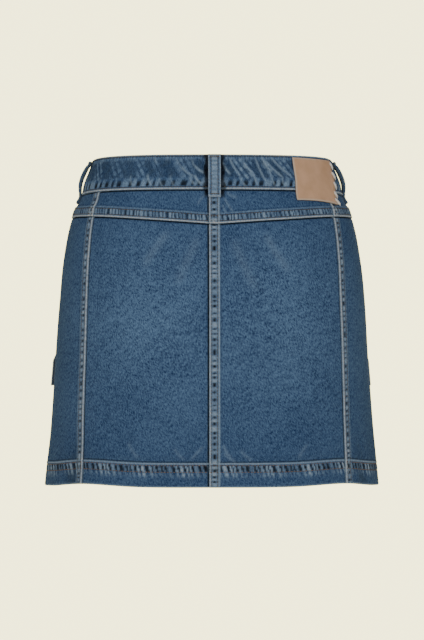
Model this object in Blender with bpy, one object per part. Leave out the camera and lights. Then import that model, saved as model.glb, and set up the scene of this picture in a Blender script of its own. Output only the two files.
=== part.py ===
"""Denim A-line mini skirt, filled out as if worn and open at the waist and hem.

Metres, +Z up.  The front faces -Y and the back +Y, so the wearer's left is +X.
The origin is the centre of the waist opening, level with its back top edge.

All cloth lies on one form.  A place on the form is a pair:
    angle   degrees round the body: 0 centre back, 90 wearer's left, 180 centre front
    below   metres below the back top edge
Every sewn piece is a wall between an outer and an inner face on that form.
"""

import math

import bmesh
import bpy
import numpy as np
from mathutils import Matrix, Vector

# ---------------------------------------------------------------- driving dimensions
CLOTH = 0.0012              # one layer of 13 oz denim with its seam allowances pressed flat
SEAM_GAP = 0.0004           # between pieces that meet edge to edge
LAY_GAP = 0.0005            # between a piece and what it lies on

BAND_HEIGHT = 0.0405        # contoured waistband, top edge to seam
BAND_THICK = 0.0024
BAND_PROUD = 0.0008         # how far the waistband stands out over the yoke
FRONT_DIP = 0.015           # how much lower the waist is at centre front
UNDERLAP_ANGLE = 14.0       # waistband end that runs on under the closure, degrees
TUCK_START = 167.0          # angle where that end starts to step in
TUCK_SPAN = 11.0
END_CLEAR = 0.1             # degrees kept clear of centre front by the other end

CENTRE_LAP = 0.0066         # the felled centre back seam's edge lies this far to the left

HEM_DEPTH = 0.0255
HEM_EXTRA = 0.0010          # more thickness where the hem is turned up

# The form's horizontal sections.
# below, half width, depth behind the axis, depth before it, squareness (2 is an ellipse)
SECTIONS = (
    (0.000, 0.1400, 0.1000, 0.0970, 2.58),
    (0.012, 0.1438, 0.1020, 0.0985, 2.54),
    (0.030, 0.1508, 0.1055, 0.1010, 2.45),
    (0.044, 0.1540, 0.1085, 0.1035, 2.38),
    (0.050, 0.1564, 0.1102, 0.1045, 2.35),
    (0.058, 0.1612, 0.1125, 0.1060, 2.32),
    (0.072, 0.1660, 0.1160, 0.1080, 2.30),
    (0.120, 0.1757, 0.1245, 0.1125, 2.27),
    (0.171, 0.1808, 0.1290, 0.1155, 2.24),
    (0.250, 0.1862, 0.1300, 0.1200, 2.20),
    (0.330, 0.1912, 0.1300, 0.1245, 2.18),
    (0.395, 0.1962, 0.1310, 0.1280, 2.16),
)

# Where the yoke seam and the hem run: angle, yoke seam below, hem edge below.
LEVELS = (
    (0.0, 0.0805, 0.3805),
    (25.0, 0.0752, 0.3805),
    (50.0, 0.0706, 0.3787),
    (70.0, 0.0695, 0.3830),
    (90.0, 0.0700, 0.3850),
    (130.0, 0.0775, 0.3845),
    (180.0, 0.0830, 0.3845),
)

# The back-side seam, which joins each back panel to the front one: below, angle.
BACK_SIDE_SEAM = (
    (0.000, 57.0),
    (0.042, 55.2),
    (0.072, 53.6),
    (0.120, 52.1),
    (0.171, 51.2),
    (0.280, 50.5),
    (0.395, 49.7),
)

# The largest folds: angle at the start, angle at the hem, start below,
# depth (out is +), half width in degrees.
FOLDS = (
    (52.0, 57.0, 0.300, -0.0022, 4.5),
    (66.0, 86.0, 0.255, 0.0024, 6.5),
    (99.0, 103.0, 0.275, -0.0020, 6.0),
    (121.0, 118.0, 0.300, 0.0024, 7.0),
    (146.0, 140.0, 0.240, -0.0024, 7.5),
    (166.0, 160.0, 0.215, 0.0026, 7.0),
    (-57.0, -62.0, 0.285, -0.0016, 5.0),
    (-73.0, -84.0, 0.260, 0.0020, 6.5),
    (-104.0, -106.0, 0.285, -0.0022, 6.0),
    (-125.0, -121.0, 0.305, 0.0020, 7.5),
    (-144.0, -143.0, 0.235, -0.0022, 6.5),
    (-169.0, -163.0, 0.225, 0.0024, 6.5),
    (20.0, 23.0, 0.270, 0.0010, 9.0),
    (-24.0, -29.0, 0.250, 0.0012, 9.0),
)

LOOP_WIDTH = 0.0145
LOOP_THICK = 0.0024         # folded in three
LOOP_TOP = 0.0005           # below the waistband's top edge
LOOP_DROP = 0.0495          # length covered, top to bottom
LOOP_HEAD = 0.004           # tacked stretch at the top
LOOP_FOOT = 0.012           # tacked stretch at the bottom, over the waistband's seam
LOOP_SKEW = 0.8             # under 1 brings the fullest place above the middle
LOOP_ROUND = 0.7            # under 1 makes the bulge fuller near its ends
# name, angle, how far the middle stands off
BELT_LOOPS = (
    ("belt_loop_back", 0.0, 0.0053),
    ("belt_loop_side_left", 88.0, 0.0034),
    ("belt_loop_side_right", -88.0, 0.0034),
    ("belt_loop_front_left", 146.0, 0.0040),
    ("belt_loop_front_right", -146.0, 0.0040),
)

# The patch is sewn on a little askew: angle and below at its inner and outer edge.
PATCH_TOP = ((-36.2, 0.0030), (-64.6, 0.0048))
PATCH_BOTTOM = ((-35.0, 0.0526), (-59.5, 0.0568))
PATCH_THICK = 0.0016

POCKET_ANGLES = (108.5, 152.0)      # rear and front edge of the bag
POCKET_LEVELS = (0.236, 0.345)      # mouth and bottom
POCKET_FOOT = LAY_GAP + 0.0009      # the bag's sewn edge, out from the panel
POCKET_RAISE = 0.0080
POCKET_MOUTH_RAISE = 0.0070
POCKET_CORNER = 0.07                # share of the width that the bellows side takes
FLAP_MARGIN_ANGLE = 1.3             # flap wider than the bag, degrees a side
FLAP_LEVELS = (0.2255, 0.2690)
FLAP_CLEAR = 0.0012                 # flap to bag
FLAP_ROWS = (0.0, 0.14, 0.30, 0.55, 1.0)
FLAP_FOLD = 0.72                    # share of the mouth's height reached at the second row

ZIP_WIDTH_ANGLES = (176.5, 187.0)
ZIP_LENGTH = 0.095
ZIP_OUT = -0.0048
ZIP_THICK = 0.0010
SHIELD_ANGLES = (178.0, 193.0)
SHIELD_LENGTH = 0.108
SHIELD_OUT = -0.0063
SLIDER_ANGLE = 181.8
SLIDER_OUT = -0.0042
SLIDER_THICK = 0.0018
SLIDER_DROP = 0.013         # below the waistband's seam

BUTTON_ANGLE = -175.0
BUTTON_RADIUS = 0.0085

PANEL_COLUMN = 5.0          # degrees a column on the large pieces
PANEL_ROWS = 10             # rows above the hem

# name: colour (linear), roughness, metallic
FINISHES = {
    "denim": ((0.050, 0.105, 0.180, 1.0), 0.88, 0.0),
    "denim_dark": ((0.031, 0.073, 0.120, 1.0), 0.90, 0.0),
    "leather": ((0.400, 0.265, 0.175, 1.0), 0.70, 0.0),
    "metal": ((0.420, 0.300, 0.190, 1.0), 0.38, 1.0),
    "tape": ((0.020, 0.030, 0.050, 1.0), 0.90, 0.0),
}


# ---------------------------------------------------------------- the form
def smooth_table(rows, column):
    """Return a function that reads one column of a table smoothly between its rows."""
    keys = np.array([row[0] for row in rows])
    values = np.array([row[column] for row in rows])
    slopes = np.gradient(values, keys)

    def read(at):
        at = np.clip(at, keys[0], keys[-1])
        row = np.clip(np.searchsorted(keys, at, side="right") - 1, 0, len(keys) - 2)
        step = keys[row + 1] - keys[row]
        part = (at - keys[row]) / step
        rest = 1.0 - part
        start = (1.0 + 2.0 * part) * rest ** 2 * values[row] + part * rest ** 2 * step * slopes[row]
        end = (3.0 - 2.0 * part) * part ** 2 * values[row + 1] - part ** 2 * rest * step * slopes[row + 1]
        return start + end

    return read


half_width_at = smooth_table(SECTIONS, 1)
back_depth_at = smooth_table(SECTIONS, 2)
front_depth_at = smooth_table(SECTIONS, 3)
squareness_at = smooth_table(SECTIONS, 4)
yoke_level_at = smooth_table(LEVELS, 1)
hem_level_at = smooth_table(LEVELS, 2)
seam_angle_at = smooth_table(BACK_SIDE_SEAM, 1)


def smooth_step(value):
    """Go from 0 to 1, level at both ends, as value goes from 0 to 1."""
    value = np.clip(value, 0.0, 1.0)
    return value * value * (3.0 - 2.0 * value)


def fold_height(angle, below):
    """Sum of the largest folds at a place, in metres outward."""
    height = np.zeros(np.broadcast(angle, below).shape)
    for start_angle, hem_angle, start, depth, spread in FOLDS:
        grown = (below - start) / (hem_level_at(abs(hem_angle)) - start)
        centre = start_angle + (hem_angle - start_angle) * np.clip(grown, 0.0, 1.0)
        away = (angle - centre + 180.0) % 360.0 - 180.0
        height += depth * smooth_step(grown) * np.exp(-(away / spread) ** 2)
    return height


def face_point(angle, below):
    """Place on the cloth's outer face."""
    turn = np.radians(angle)
    across = np.sin(turn)
    along = np.cos(turn)
    square = squareness_at(below)
    reach = (np.abs(across) ** square + np.abs(along) ** square) ** (-1.0 / square)
    depth = np.where(along > 0.0, back_depth_at(below), front_depth_at(below))
    x = half_width_at(below) * reach * across
    y = depth * reach * along
    swell = 1.0 + fold_height(angle, below) / np.hypot(x, y)
    return np.stack(np.broadcast_arrays(x * swell, y * swell, -below), axis=-1)


def unit(vectors):
    return vectors / np.linalg.norm(vectors, axis=-1, keepdims=True)


def face_normal(angle, below):
    """Outward normal of the outer face."""
    turn_step = 0.2
    drop_step = 0.0005
    round_body = face_point(angle + turn_step, below) - face_point(angle - turn_step, below)
    down_body = face_point(angle, below + drop_step) - face_point(angle, below - drop_step)
    return unit(np.cross(down_body, round_body)) * -1.0


def cloth_point(angle, below, out):
    """Place at a distance out from the outer face, which is negative inside the cloth."""
    out = np.broadcast_to(out, np.broadcast(angle, below).shape)
    return face_point(angle, below) + face_normal(angle, below) * out[..., None]


def degrees_for(length, angle, below):
    """Angle that an arc of this length takes at a place."""
    chord = face_point(angle + 0.5, below) - face_point(angle - 0.5, below)
    return length / np.linalg.norm(chord, axis=-1)


# ---------------------------------------------------------------- seam lines
def waist_level(angle):
    return FRONT_DIP * ((1.0 - np.cos(np.radians(angle))) / 2.0) ** 2


def band_seam_level(angle):
    return waist_level(angle) + BAND_HEIGHT


def folded_angle(angle):
    """The same place on the left half, from 0 to 180 degrees."""
    return np.abs((angle + 180.0) % 360.0 - 180.0)


def yoke_seam_level(angle):
    return yoke_level_at(folded_angle(angle))


def hem_level(angle):
    return hem_level_at(folded_angle(angle))


# ---------------------------------------------------------------- walls
def place_grid(first_edge, last_edge, top, bottom, columns, rows):
    """Angles and levels of a grid between two upright edges and two levels.

    first_edge and last_edge give an angle for a level; top and bottom give a level for
    an angle.  columns and rows are the shares at which the grid's lines lie.
    """
    share_round, share_down = np.meshgrid(columns, rows)
    below = np.full(share_round.shape, 0.2)
    for _ in range(8):
        angle = first_edge(below) + (last_edge(below) - first_edge(below)) * share_round
        below = top(angle) + (bottom(angle) - top(angle)) * share_down
    return angle, below


def wall_mesh(name, outer, inner):
    """Closed mesh between two grids of points."""
    rows, columns = outer.shape[:2]
    mesh = bmesh.new()
    layers = []
    for grid in (outer, inner):
        layers.append([[mesh.verts.new(grid[r, c]) for c in range(columns)] for r in range(rows)])
    for layer in layers:
        for r in range(rows - 1):
            for c in range(columns - 1):
                mesh.faces.new((layer[r][c], layer[r][c + 1], layer[r + 1][c + 1], layer[r + 1][c]))
    rim = [(0, c) for c in range(columns)]
    rim += [(r, columns - 1) for r in range(1, rows)]
    rim += [(rows - 1, c) for c in range(columns - 2, -1, -1)]
    rim += [(r, 0) for r in range(rows - 2, 0, -1)]
    for (r0, c0), (r1, c1) in zip(rim, rim[1:] + rim[:1]):
        mesh.faces.new((layers[0][r0][c0], layers[0][r1][c1], layers[1][r1][c1], layers[1][r0][c0]))
    bmesh.ops.recalc_face_normals(mesh, faces=mesh.faces)
    data = bpy.data.meshes.new(name)
    mesh.to_mesh(data)
    mesh.free()
    return data


def grid_normals(points):
    """Outward normals of a grid of points, for a raised piece with its own shape."""
    down = np.gradient(points, axis=0)
    round_body = np.gradient(points, axis=1)
    normals = unit(np.cross(round_body, down))
    outward = points * (1.0, 1.0, 0.0)
    flip = np.sign(np.sum(normals * outward, axis=-1, keepdims=True))
    return normals * flip


def finish_material(finish):
    material = bpy.data.materials.get(finish)
    if material is None:
        colour, roughness, metallic = FINISHES[finish]
        material = bpy.data.materials.new(finish)
        material.use_nodes = True
        shader = material.node_tree.nodes["Principled BSDF"]
        shader.inputs["Base Color"].default_value = colour
        shader.inputs["Roughness"].default_value = roughness
        shader.inputs["Metallic"].default_value = metallic
    return material


def add_piece(name, data, finish, parent, smooth_limit=40.0):
    data.shade_smooth()
    data.set_sharp_from_angle(angle=math.radians(smooth_limit))
    data.materials.append(finish_material(finish))
    piece = bpy.data.objects.new(name, data)
    piece.parent = parent
    bpy.context.scene.collection.objects.link(piece)
    return piece


def add_wall(name, angle, below, out, thick, finish, parent):
    """A sewn piece: a wall of this thickness whose outer face is out from the form."""
    outer = cloth_point(angle, below, out)
    inner = cloth_point(angle, below, out - thick)
    return add_piece(name, wall_mesh(name, outer, inner), finish, parent)


def edge_beside(seam, direction):
    """A seam's angle, moved half a seam gap to one side along the cloth."""

    def edge(below):
        angle = seam(below)
        return angle + direction * degrees_for(SEAM_GAP / 2.0, angle, below)

    return edge


def steady(value):
    """A seam that stays at one angle, or a level that stays at one height."""
    return lambda at: np.full(np.shape(at), float(value))


def level_beside(level, shift):
    return lambda angle: level(angle) + shift


def column_shares(span):
    return np.linspace(0.0, 1.0, max(2, round(span / PANEL_COLUMN)) + 1)


# ---------------------------------------------------------------- sewn pieces
def add_waistband(parent):
    """One contoured band; its right end closes over its left end at centre front."""
    right_end = -180.0 + END_CLEAR
    left_end = 180.0 + UNDERLAP_ANGLE
    columns = np.linspace(0.0, 1.0, 77)
    rows = np.linspace(0.0, 1.0, 5)
    angle, below = place_grid(
        steady(right_end), steady(left_end), waist_level,
        level_beside(band_seam_level, -SEAM_GAP / 2.0), columns, rows)
    tucked = smooth_step((angle - TUCK_START) / TUCK_SPAN)
    out = BAND_PROUD - tucked * (BAND_THICK + LAY_GAP)
    add_wall("waistband", angle, below, out, BAND_THICK, "denim", parent)


def add_side(side, sign, parent):
    """Yokes and panels of one half; sign is +1 on the wearer's left and -1 on the right."""

    def centre_back(below):
        return sign * degrees_for(CENTRE_LAP, 0.0, below)

    centre_front = steady(180.0)
    # name, inner seam, outer seam, span in degrees
    stretches = (
        ("back", centre_back, seam_angle_at, 52.0),
        ("front", seam_angle_at, centre_front, 128.0),
    )
    band_line = level_beside(band_seam_level, SEAM_GAP / 2.0)
    yoke_rows = np.linspace(0.0, 1.0, 4)
    hem_share = HEM_DEPTH / float(hem_level(0.0) - yoke_seam_level(0.0))
    panel_rows = np.append(np.linspace(0.0, 1.0 - hem_share, PANEL_ROWS), 1.0)
    for stretch, first_seam, last_seam, span in stretches:
        first_edge = edge_beside(first_seam, 1.0)
        last_edge = edge_beside(last_seam, -1.0)
        columns = column_shares(span)

        angle, below = place_grid(
            first_edge, last_edge, band_line,
            level_beside(yoke_seam_level, -SEAM_GAP / 2.0), columns, yoke_rows)
        add_wall(f"{stretch}_yoke_{side}", sign * angle, below, 0.0, CLOTH, "denim", parent)

        angle, below = place_grid(
            first_edge, last_edge, level_beside(yoke_seam_level, SEAM_GAP / 2.0),
            hem_level, columns, panel_rows)
        turned_up = (hem_level(angle) - below) < HEM_DEPTH + HEM_EXTRA
        thick = np.where(turned_up, CLOTH + HEM_EXTRA, CLOTH)
        finish = "denim" if stretch == "back" else "denim_dark"
        add_wall(f"{stretch}_panel_{side}", sign * angle, below, 0.0, thick, finish, parent)


def add_belt_loop(name, centre, bulge, parent):
    """A folded strip, tacked flat at both ends and standing off between them."""
    top = waist_level(centre) + LOOP_TOP
    below_line = top + np.linspace(0.0, 1.0, 12) * LOOP_DROP
    along = below_line - top
    free = np.clip((along - LOOP_HEAD) / (LOOP_DROP - LOOP_HEAD - LOOP_FOOT), 0.0, 1.0)
    lie = BAND_PROUD + LAY_GAP + LOOP_THICK
    lift = lie + bulge * np.sin(np.pi * free ** LOOP_SKEW) ** LOOP_ROUND
    half_angle = degrees_for(LOOP_WIDTH / 2.0, centre, below_line)
    share = np.linspace(-1.0, 1.0, 3)[None, :]
    angle = centre + half_angle[:, None] * share
    below = np.repeat(below_line[:, None], 3, axis=1)
    out = np.repeat(lift[:, None], 3, axis=1)
    add_wall(name, angle, below, out, LOOP_THICK, "denim", parent)


def add_patch(parent):
    """Plain leather patch sewn over the waistband and the top of the right back yoke."""
    across, down = np.meshgrid(np.linspace(0.0, 1.0, 8), np.linspace(0.0, 1.0, 6))
    top, bottom = np.array(PATCH_TOP), np.array(PATCH_BOTTOM)
    upper = top[0] + across[..., None] * (top[1] - top[0])
    lower = bottom[0] + across[..., None] * (bottom[1] - bottom[0])
    angle, below = np.moveaxis(upper + down[..., None] * (lower - upper), -1, 0)
    out = BAND_PROUD + LAY_GAP + PATCH_THICK
    add_wall("leather_patch", angle, below, out, PATCH_THICK, "leather", parent)


def add_pocket(side, sign, parent):
    """Cargo pocket: a bellows bag, open at the top, under a plain flap."""
    rear, front = POCKET_ANGLES
    mouth, floor = POCKET_LEVELS
    corner_shares = np.array((0.0, POCKET_CORNER * 0.35, POCKET_CORNER))
    columns = np.concatenate(
        (corner_shares, np.linspace(POCKET_CORNER, 1.0 - POCKET_CORNER, 9)[1:-1], 1.0 - corner_shares[::-1]))
    floor_shares = 1.0 - corner_shares[::-1]
    rows = np.concatenate((np.linspace(0.0, 1.0 - POCKET_CORNER, 6)[:-1], floor_shares))
    angle, below = place_grid(steady(rear), steady(front), steady(mouth), steady(floor), columns, rows)
    from_side = np.minimum(columns, 1.0 - columns)[None, :] / POCKET_CORNER
    from_floor = (1.0 - rows)[:, None] / POCKET_CORNER
    side_rise = np.sin(np.clip(from_side, 0.0, 1.0) * math.pi / 2.0)
    floor_rise = np.sin(np.clip(from_floor, 0.0, 1.0) * math.pi / 2.0)
    fullness = POCKET_MOUTH_RAISE + (POCKET_RAISE - POCKET_MOUTH_RAISE) * smooth_step(rows / 0.4)[:, None]
    outer = cloth_point(sign * angle, below, POCKET_FOOT + fullness * side_rise * floor_rise)
    inner = outer - grid_normals(outer) * CLOTH
    name = f"pocket_bag_{side}"
    add_piece(name, wall_mesh(name, outer, inner), "denim_dark", parent)

    top, bottom = FLAP_LEVELS
    columns = np.linspace(0.0, 1.0, 11)
    rows = np.array(FLAP_ROWS)
    angle, below = place_grid(
        steady(rear - FLAP_MARGIN_ANGLE), steady(front + FLAP_MARGIN_ANGLE),
        steady(top), steady(bottom), columns, rows)
    lie = LAY_GAP + CLOTH
    over_mouth = POCKET_FOOT + POCKET_MOUTH_RAISE + FLAP_CLEAR + CLOTH
    over_bag = POCKET_FOOT + POCKET_RAISE + FLAP_CLEAR + CLOTH
    known_rows = (*FLAP_ROWS[:3], 1.0)
    lift = np.interp(rows, known_rows, (lie, over_mouth * FLAP_FOLD, over_mouth, over_bag))
    out = np.repeat(lift[:, None], len(columns), axis=1)
    add_wall(f"pocket_flap_{side}", sign * angle, below, out, CLOTH, "denim_dark", parent)


def add_fly(parent):
    """Zip tape and the shield behind it, inside the front closure."""
    # name, angles, length, outer face, thickness, finish
    strips = (
        ("zip_tape", ZIP_WIDTH_ANGLES, ZIP_LENGTH, ZIP_OUT, ZIP_THICK, "tape"),
        ("fly_shield", SHIELD_ANGLES, SHIELD_LENGTH, SHIELD_OUT, CLOTH, "denim_dark"),
    )
    for name, angles, length, out, thick, finish in strips:
        top = level_beside(band_seam_level, SEAM_GAP)
        angle, below = place_grid(
            steady(angles[0]), steady(angles[1]), top, level_beside(top, length),
            np.linspace(0.0, 1.0, 4), np.linspace(0.0, 1.0, 6))
        add_wall(name, angle, below, out, thick, finish, parent)


# ---------------------------------------------------------------- metal pieces
def local_frame(angle, below, out):
    """Frame on the cloth: X round the body, Y up, Z outward."""
    angle = np.array(float(angle))
    below = np.array(float(below))
    outward = Vector(face_normal(angle, below))
    upward = Vector((0.0, 0.0, 1.0))
    sideways = upward.cross(outward).normalized()
    upward = outward.cross(sideways)
    frame = Matrix((sideways, upward, outward)).transposed().to_4x4()
    frame.translation = Vector(cloth_point(angle, below, out))
    return frame


def add_slider(parent):
    """Zip slider with its tab hanging down, one flat forging with rounded ends."""
    body_half = 0.0042
    body_height = 0.0095
    tab_half = 0.0026
    tab_drop = 0.0150
    outline = [(-body_half, body_height), (-body_half, 0.0015), (-tab_half, -0.0010)]
    for turn in np.linspace(math.pi, 2.0 * math.pi, 7):
        outline.append((tab_half * math.cos(turn), -tab_drop + tab_half * math.sin(turn)))
    outline += [(tab_half, -0.0010), (body_half, 0.0015), (body_half, body_height)]
    mesh = bmesh.new()
    face = mesh.faces.new([mesh.verts.new((x, y, 0.0)) for x, y in outline])
    grown = bmesh.ops.extrude_face_region(mesh, geom=[face])
    lifted = [item for item in grown["geom"] if isinstance(item, bmesh.types.BMVert)]
    bmesh.ops.translate(mesh, verts=lifted, vec=(0.0, 0.0, SLIDER_THICK))
    bmesh.ops.recalc_face_normals(mesh, faces=mesh.faces)
    data = bpy.data.meshes.new("zip_slider")
    mesh.to_mesh(data)
    mesh.free()
    slider = add_piece("zip_slider", data, "metal", parent)
    below = band_seam_level(SLIDER_ANGLE) + SLIDER_DROP
    slider.matrix_basis = local_frame(SLIDER_ANGLE, below, SLIDER_OUT)


def add_button(parent):
    """Turned shank button, its back resting just off the waistband."""
    shank = 0.0036
    shank_height = 0.0014
    rim_height = 0.0034
    # radius, height out from the cloth
    profile = (
        (0.0, 0.0),
        (shank, 0.0),
        (shank, shank_height),
        (BUTTON_RADIUS * 0.94, shank_height),
        (BUTTON_RADIUS, shank_height + 0.0007),
        (BUTTON_RADIUS, rim_height - 0.0004),
        (BUTTON_RADIUS * 0.90, rim_height),
        (BUTTON_RADIUS * 0.74, rim_height - 0.0006),
        (0.0, rim_height),
    )
    mesh = bmesh.new()
    points = [mesh.verts.new((radius, 0.0, height)) for radius, height in profile]
    edges = [mesh.edges.new(pair) for pair in zip(points, points[1:])]
    bmesh.ops.spin(
        mesh, geom=points + edges, cent=(0.0, 0.0, 0.0), axis=(0.0, 0.0, 1.0),
        angle=2.0 * math.pi, steps=20, use_merge=True)
    bmesh.ops.remove_doubles(mesh, verts=mesh.verts, dist=0.00001)
    bmesh.ops.recalc_face_normals(mesh, faces=mesh.faces)
    data = bpy.data.meshes.new("waist_button")
    mesh.to_mesh(data)
    mesh.free()
    button = add_piece("waist_button", data, "metal", parent)
    below = waist_level(BUTTON_ANGLE) + BAND_HEIGHT / 2.0
    button.matrix_basis = local_frame(BUTTON_ANGLE, below, BAND_PROUD + LAY_GAP)


# ---------------------------------------------------------------- the skirt
def build():
    for old in list(bpy.data.objects):
        bpy.data.objects.remove(old, do_unlink=True)
    skirt = bpy.data.objects.new("skirt", None)
    bpy.context.scene.collection.objects.link(skirt)
    add_waistband(skirt)
    for side, sign in (("left", 1.0), ("right", -1.0)):
        add_side(side, sign, skirt)
        add_pocket(side, sign, skirt)
    for name, centre, bulge in BELT_LOOPS:
        add_belt_loop(name, centre, bulge, skirt)
    add_patch(skirt)
    add_fly(skirt)
    add_slider(skirt)
    add_button(skirt)


build()
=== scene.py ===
"""Looks of the denim skirt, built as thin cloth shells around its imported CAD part.

Metres, +Z up, in the part's own frame: the front faces -Y and the back +Y.
A place on the cloth is an angle (0 centre back, 90 wearer's left, 180 centre front, in
degrees) and a level (metres below the back top edge).  One half of the skirt is laid out
in positive angles and mirrored by its side's sign, which is +1 on the wearer's left.
"""

import functools
import math

import bmesh
import bpy
import numpy as np
from mathutils import Matrix, Vector


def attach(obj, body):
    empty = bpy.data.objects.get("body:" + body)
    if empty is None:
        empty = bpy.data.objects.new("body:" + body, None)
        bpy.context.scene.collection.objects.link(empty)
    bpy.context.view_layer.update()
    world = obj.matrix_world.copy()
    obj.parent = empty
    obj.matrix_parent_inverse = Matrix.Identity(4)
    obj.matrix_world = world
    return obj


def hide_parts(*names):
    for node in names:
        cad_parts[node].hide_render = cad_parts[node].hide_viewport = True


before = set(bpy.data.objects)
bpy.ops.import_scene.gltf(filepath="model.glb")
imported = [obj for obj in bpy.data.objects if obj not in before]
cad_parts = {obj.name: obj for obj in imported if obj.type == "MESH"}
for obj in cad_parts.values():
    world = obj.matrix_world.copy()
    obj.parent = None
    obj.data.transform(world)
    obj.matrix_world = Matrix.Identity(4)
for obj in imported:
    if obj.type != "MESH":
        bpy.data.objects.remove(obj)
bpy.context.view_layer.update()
MM = 0.001

# ---------------------------------------------------------------- the part's form
CLOTH = 1.2 * MM
BAND_HEIGHT = 40.5 * MM
BAND_THICK = 2.4 * MM
BAND_PROUD = 0.8 * MM
FRONT_DIP = 15.0 * MM
UNDERLAP_ANGLE = 14.0
TUCK_START = 167.0
TUCK_SPAN = 11.0
CENTRE_LAP = 6.6 * MM
HEM_EXTRA = 1.0 * MM
HEM_DEPTH = 25.5 * MM
LAY_GAP = 0.5 * MM
SEAM_GAP = 0.4 * MM

# below, half width, depth behind the axis, depth before it, squareness
SECTIONS = (
    (0.000, 0.1400, 0.1000, 0.0970, 2.58),
    (0.012, 0.1438, 0.1020, 0.0985, 2.54),
    (0.030, 0.1508, 0.1055, 0.1010, 2.45),
    (0.044, 0.1540, 0.1085, 0.1035, 2.38),
    (0.050, 0.1564, 0.1102, 0.1045, 2.35),
    (0.058, 0.1612, 0.1125, 0.1060, 2.32),
    (0.072, 0.1660, 0.1160, 0.1080, 2.30),
    (0.120, 0.1757, 0.1245, 0.1125, 2.27),
    (0.171, 0.1808, 0.1290, 0.1155, 2.24),
    (0.250, 0.1862, 0.1300, 0.1200, 2.20),
    (0.330, 0.1912, 0.1300, 0.1245, 2.18),
    (0.395, 0.1962, 0.1310, 0.1280, 2.16),
)
# angle, yoke seam below, hem edge below
LEVELS = (
    (0.0, 0.0805, 0.3805),
    (25.0, 0.0752, 0.3805),
    (50.0, 0.0706, 0.3787),
    (70.0, 0.0695, 0.3830),
    (90.0, 0.0700, 0.3850),
    (130.0, 0.0775, 0.3845),
    (180.0, 0.0830, 0.3845),
)
# below, angle
BACK_SIDE_SEAM = (
    (0.000, 57.0),
    (0.042, 55.2),
    (0.072, 53.6),
    (0.120, 52.1),
    (0.171, 51.2),
    (0.280, 50.5),
    (0.395, 49.7),
)
# angle at the start, angle at the hem, start below, depth, half width in degrees
FOLDS = (
    (52.0, 57.0, 0.300, -0.0022, 4.5),
    (66.0, 86.0, 0.255, 0.0024, 6.5),
    (99.0, 103.0, 0.275, -0.0020, 6.0),
    (121.0, 118.0, 0.300, 0.0024, 7.0),
    (146.0, 140.0, 0.240, -0.0024, 7.5),
    (166.0, 160.0, 0.215, 0.0026, 7.0),
    (-57.0, -62.0, 0.285, -0.0016, 5.0),
    (-73.0, -84.0, 0.260, 0.0020, 6.5),
    (-104.0, -106.0, 0.285, -0.0022, 6.0),
    (-125.0, -121.0, 0.305, 0.0020, 7.5),
    (-144.0, -143.0, 0.235, -0.0022, 6.5),
    (-169.0, -163.0, 0.225, 0.0024, 6.5),
    (20.0, 23.0, 0.270, 0.0010, 9.0),
    (-24.0, -29.0, 0.250, 0.0012, 9.0),
)


def smooth_table(rows, column):
    """Return a function that reads one column of a table smoothly between its rows."""
    keys = np.array([row[0] for row in rows])
    values = np.array([row[column] for row in rows])
    slopes = np.gradient(values, keys)

    def read(at):
        at = np.clip(at, keys[0], keys[-1])
        row = np.clip(np.searchsorted(keys, at, side="right") - 1, 0, len(keys) - 2)
        step = keys[row + 1] - keys[row]
        part = (at - keys[row]) / step
        rest = 1.0 - part
        start = (1.0 + 2.0 * part) * rest ** 2 * values[row] + part * rest ** 2 * step * slopes[row]
        end = (3.0 - 2.0 * part) * part ** 2 * values[row + 1] - part ** 2 * rest * step * slopes[row + 1]
        return start + end

    return read


half_width_at = smooth_table(SECTIONS, 1)
back_depth_at = smooth_table(SECTIONS, 2)
front_depth_at = smooth_table(SECTIONS, 3)
squareness_at = smooth_table(SECTIONS, 4)
yoke_level_at = smooth_table(LEVELS, 1)
hem_level_at = smooth_table(LEVELS, 2)
seam_angle_at = smooth_table(BACK_SIDE_SEAM, 1)


def smooth_step(value):
    """Go from 0 to 1, level at both ends, as value goes from 0 to 1."""
    value = np.clip(value, 0.0, 1.0)
    return value * value * (3.0 - 2.0 * value)


def bell(distance, spread):
    """1 at no distance and falling off smoothly to both sides."""
    return np.exp(-(distance / spread) ** 2)


def fade_past(distance, spread):
    """1 up to no distance and falling off smoothly beyond it."""
    return bell(np.maximum(distance, 0.0), spread)


def strongest(*grids):
    """The largest of several grids at each place."""
    return functools.reduce(np.maximum, grids)


def fold_height(angle, below):
    """Sum of the largest folds at a place, in metres outward."""
    height = np.zeros(np.broadcast(angle, below).shape)
    for start_angle, hem_angle, start, depth, spread in FOLDS:
        grown = (below - start) / (hem_level_at(abs(hem_angle)) - start)
        centre = start_angle + (hem_angle - start_angle) * np.clip(grown, 0.0, 1.0)
        away = (angle - centre + 180.0) % 360.0 - 180.0
        height += depth * smooth_step(grown) * bell(away, spread)
    return height


def face_point(angle, below):
    """Place on the form, which is the outer face of the flat cloth."""
    turn = np.radians(angle)
    across = np.sin(turn)
    along = np.cos(turn)
    square = squareness_at(below)
    reach = (np.abs(across) ** square + np.abs(along) ** square) ** (-1.0 / square)
    depth = np.where(along > 0.0, back_depth_at(below), front_depth_at(below))
    x = half_width_at(below) * reach * across
    y = depth * reach * along
    swell = 1.0 + fold_height(angle, below) / np.hypot(x, y)
    return np.stack(np.broadcast_arrays(x * swell, y * swell, -below), axis=-1)


def unit(vectors):
    return vectors / np.linalg.norm(vectors, axis=-1, keepdims=True)


def face_normal(angle, below):
    """Outward normal of the form."""
    turn_step = 0.2
    drop_step = 0.5 * MM
    round_body = face_point(angle + turn_step, below) - face_point(angle - turn_step, below)
    down_body = face_point(angle, below + drop_step) - face_point(angle, below - drop_step)
    return unit(np.cross(round_body, down_body))


def cloth_point(angle, below, out):
    """Place at a distance outward from the form."""
    out = np.broadcast_to(out, np.broadcast(angle, below).shape)
    return face_point(angle, below) + face_normal(angle, below) * out[..., None]


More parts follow.
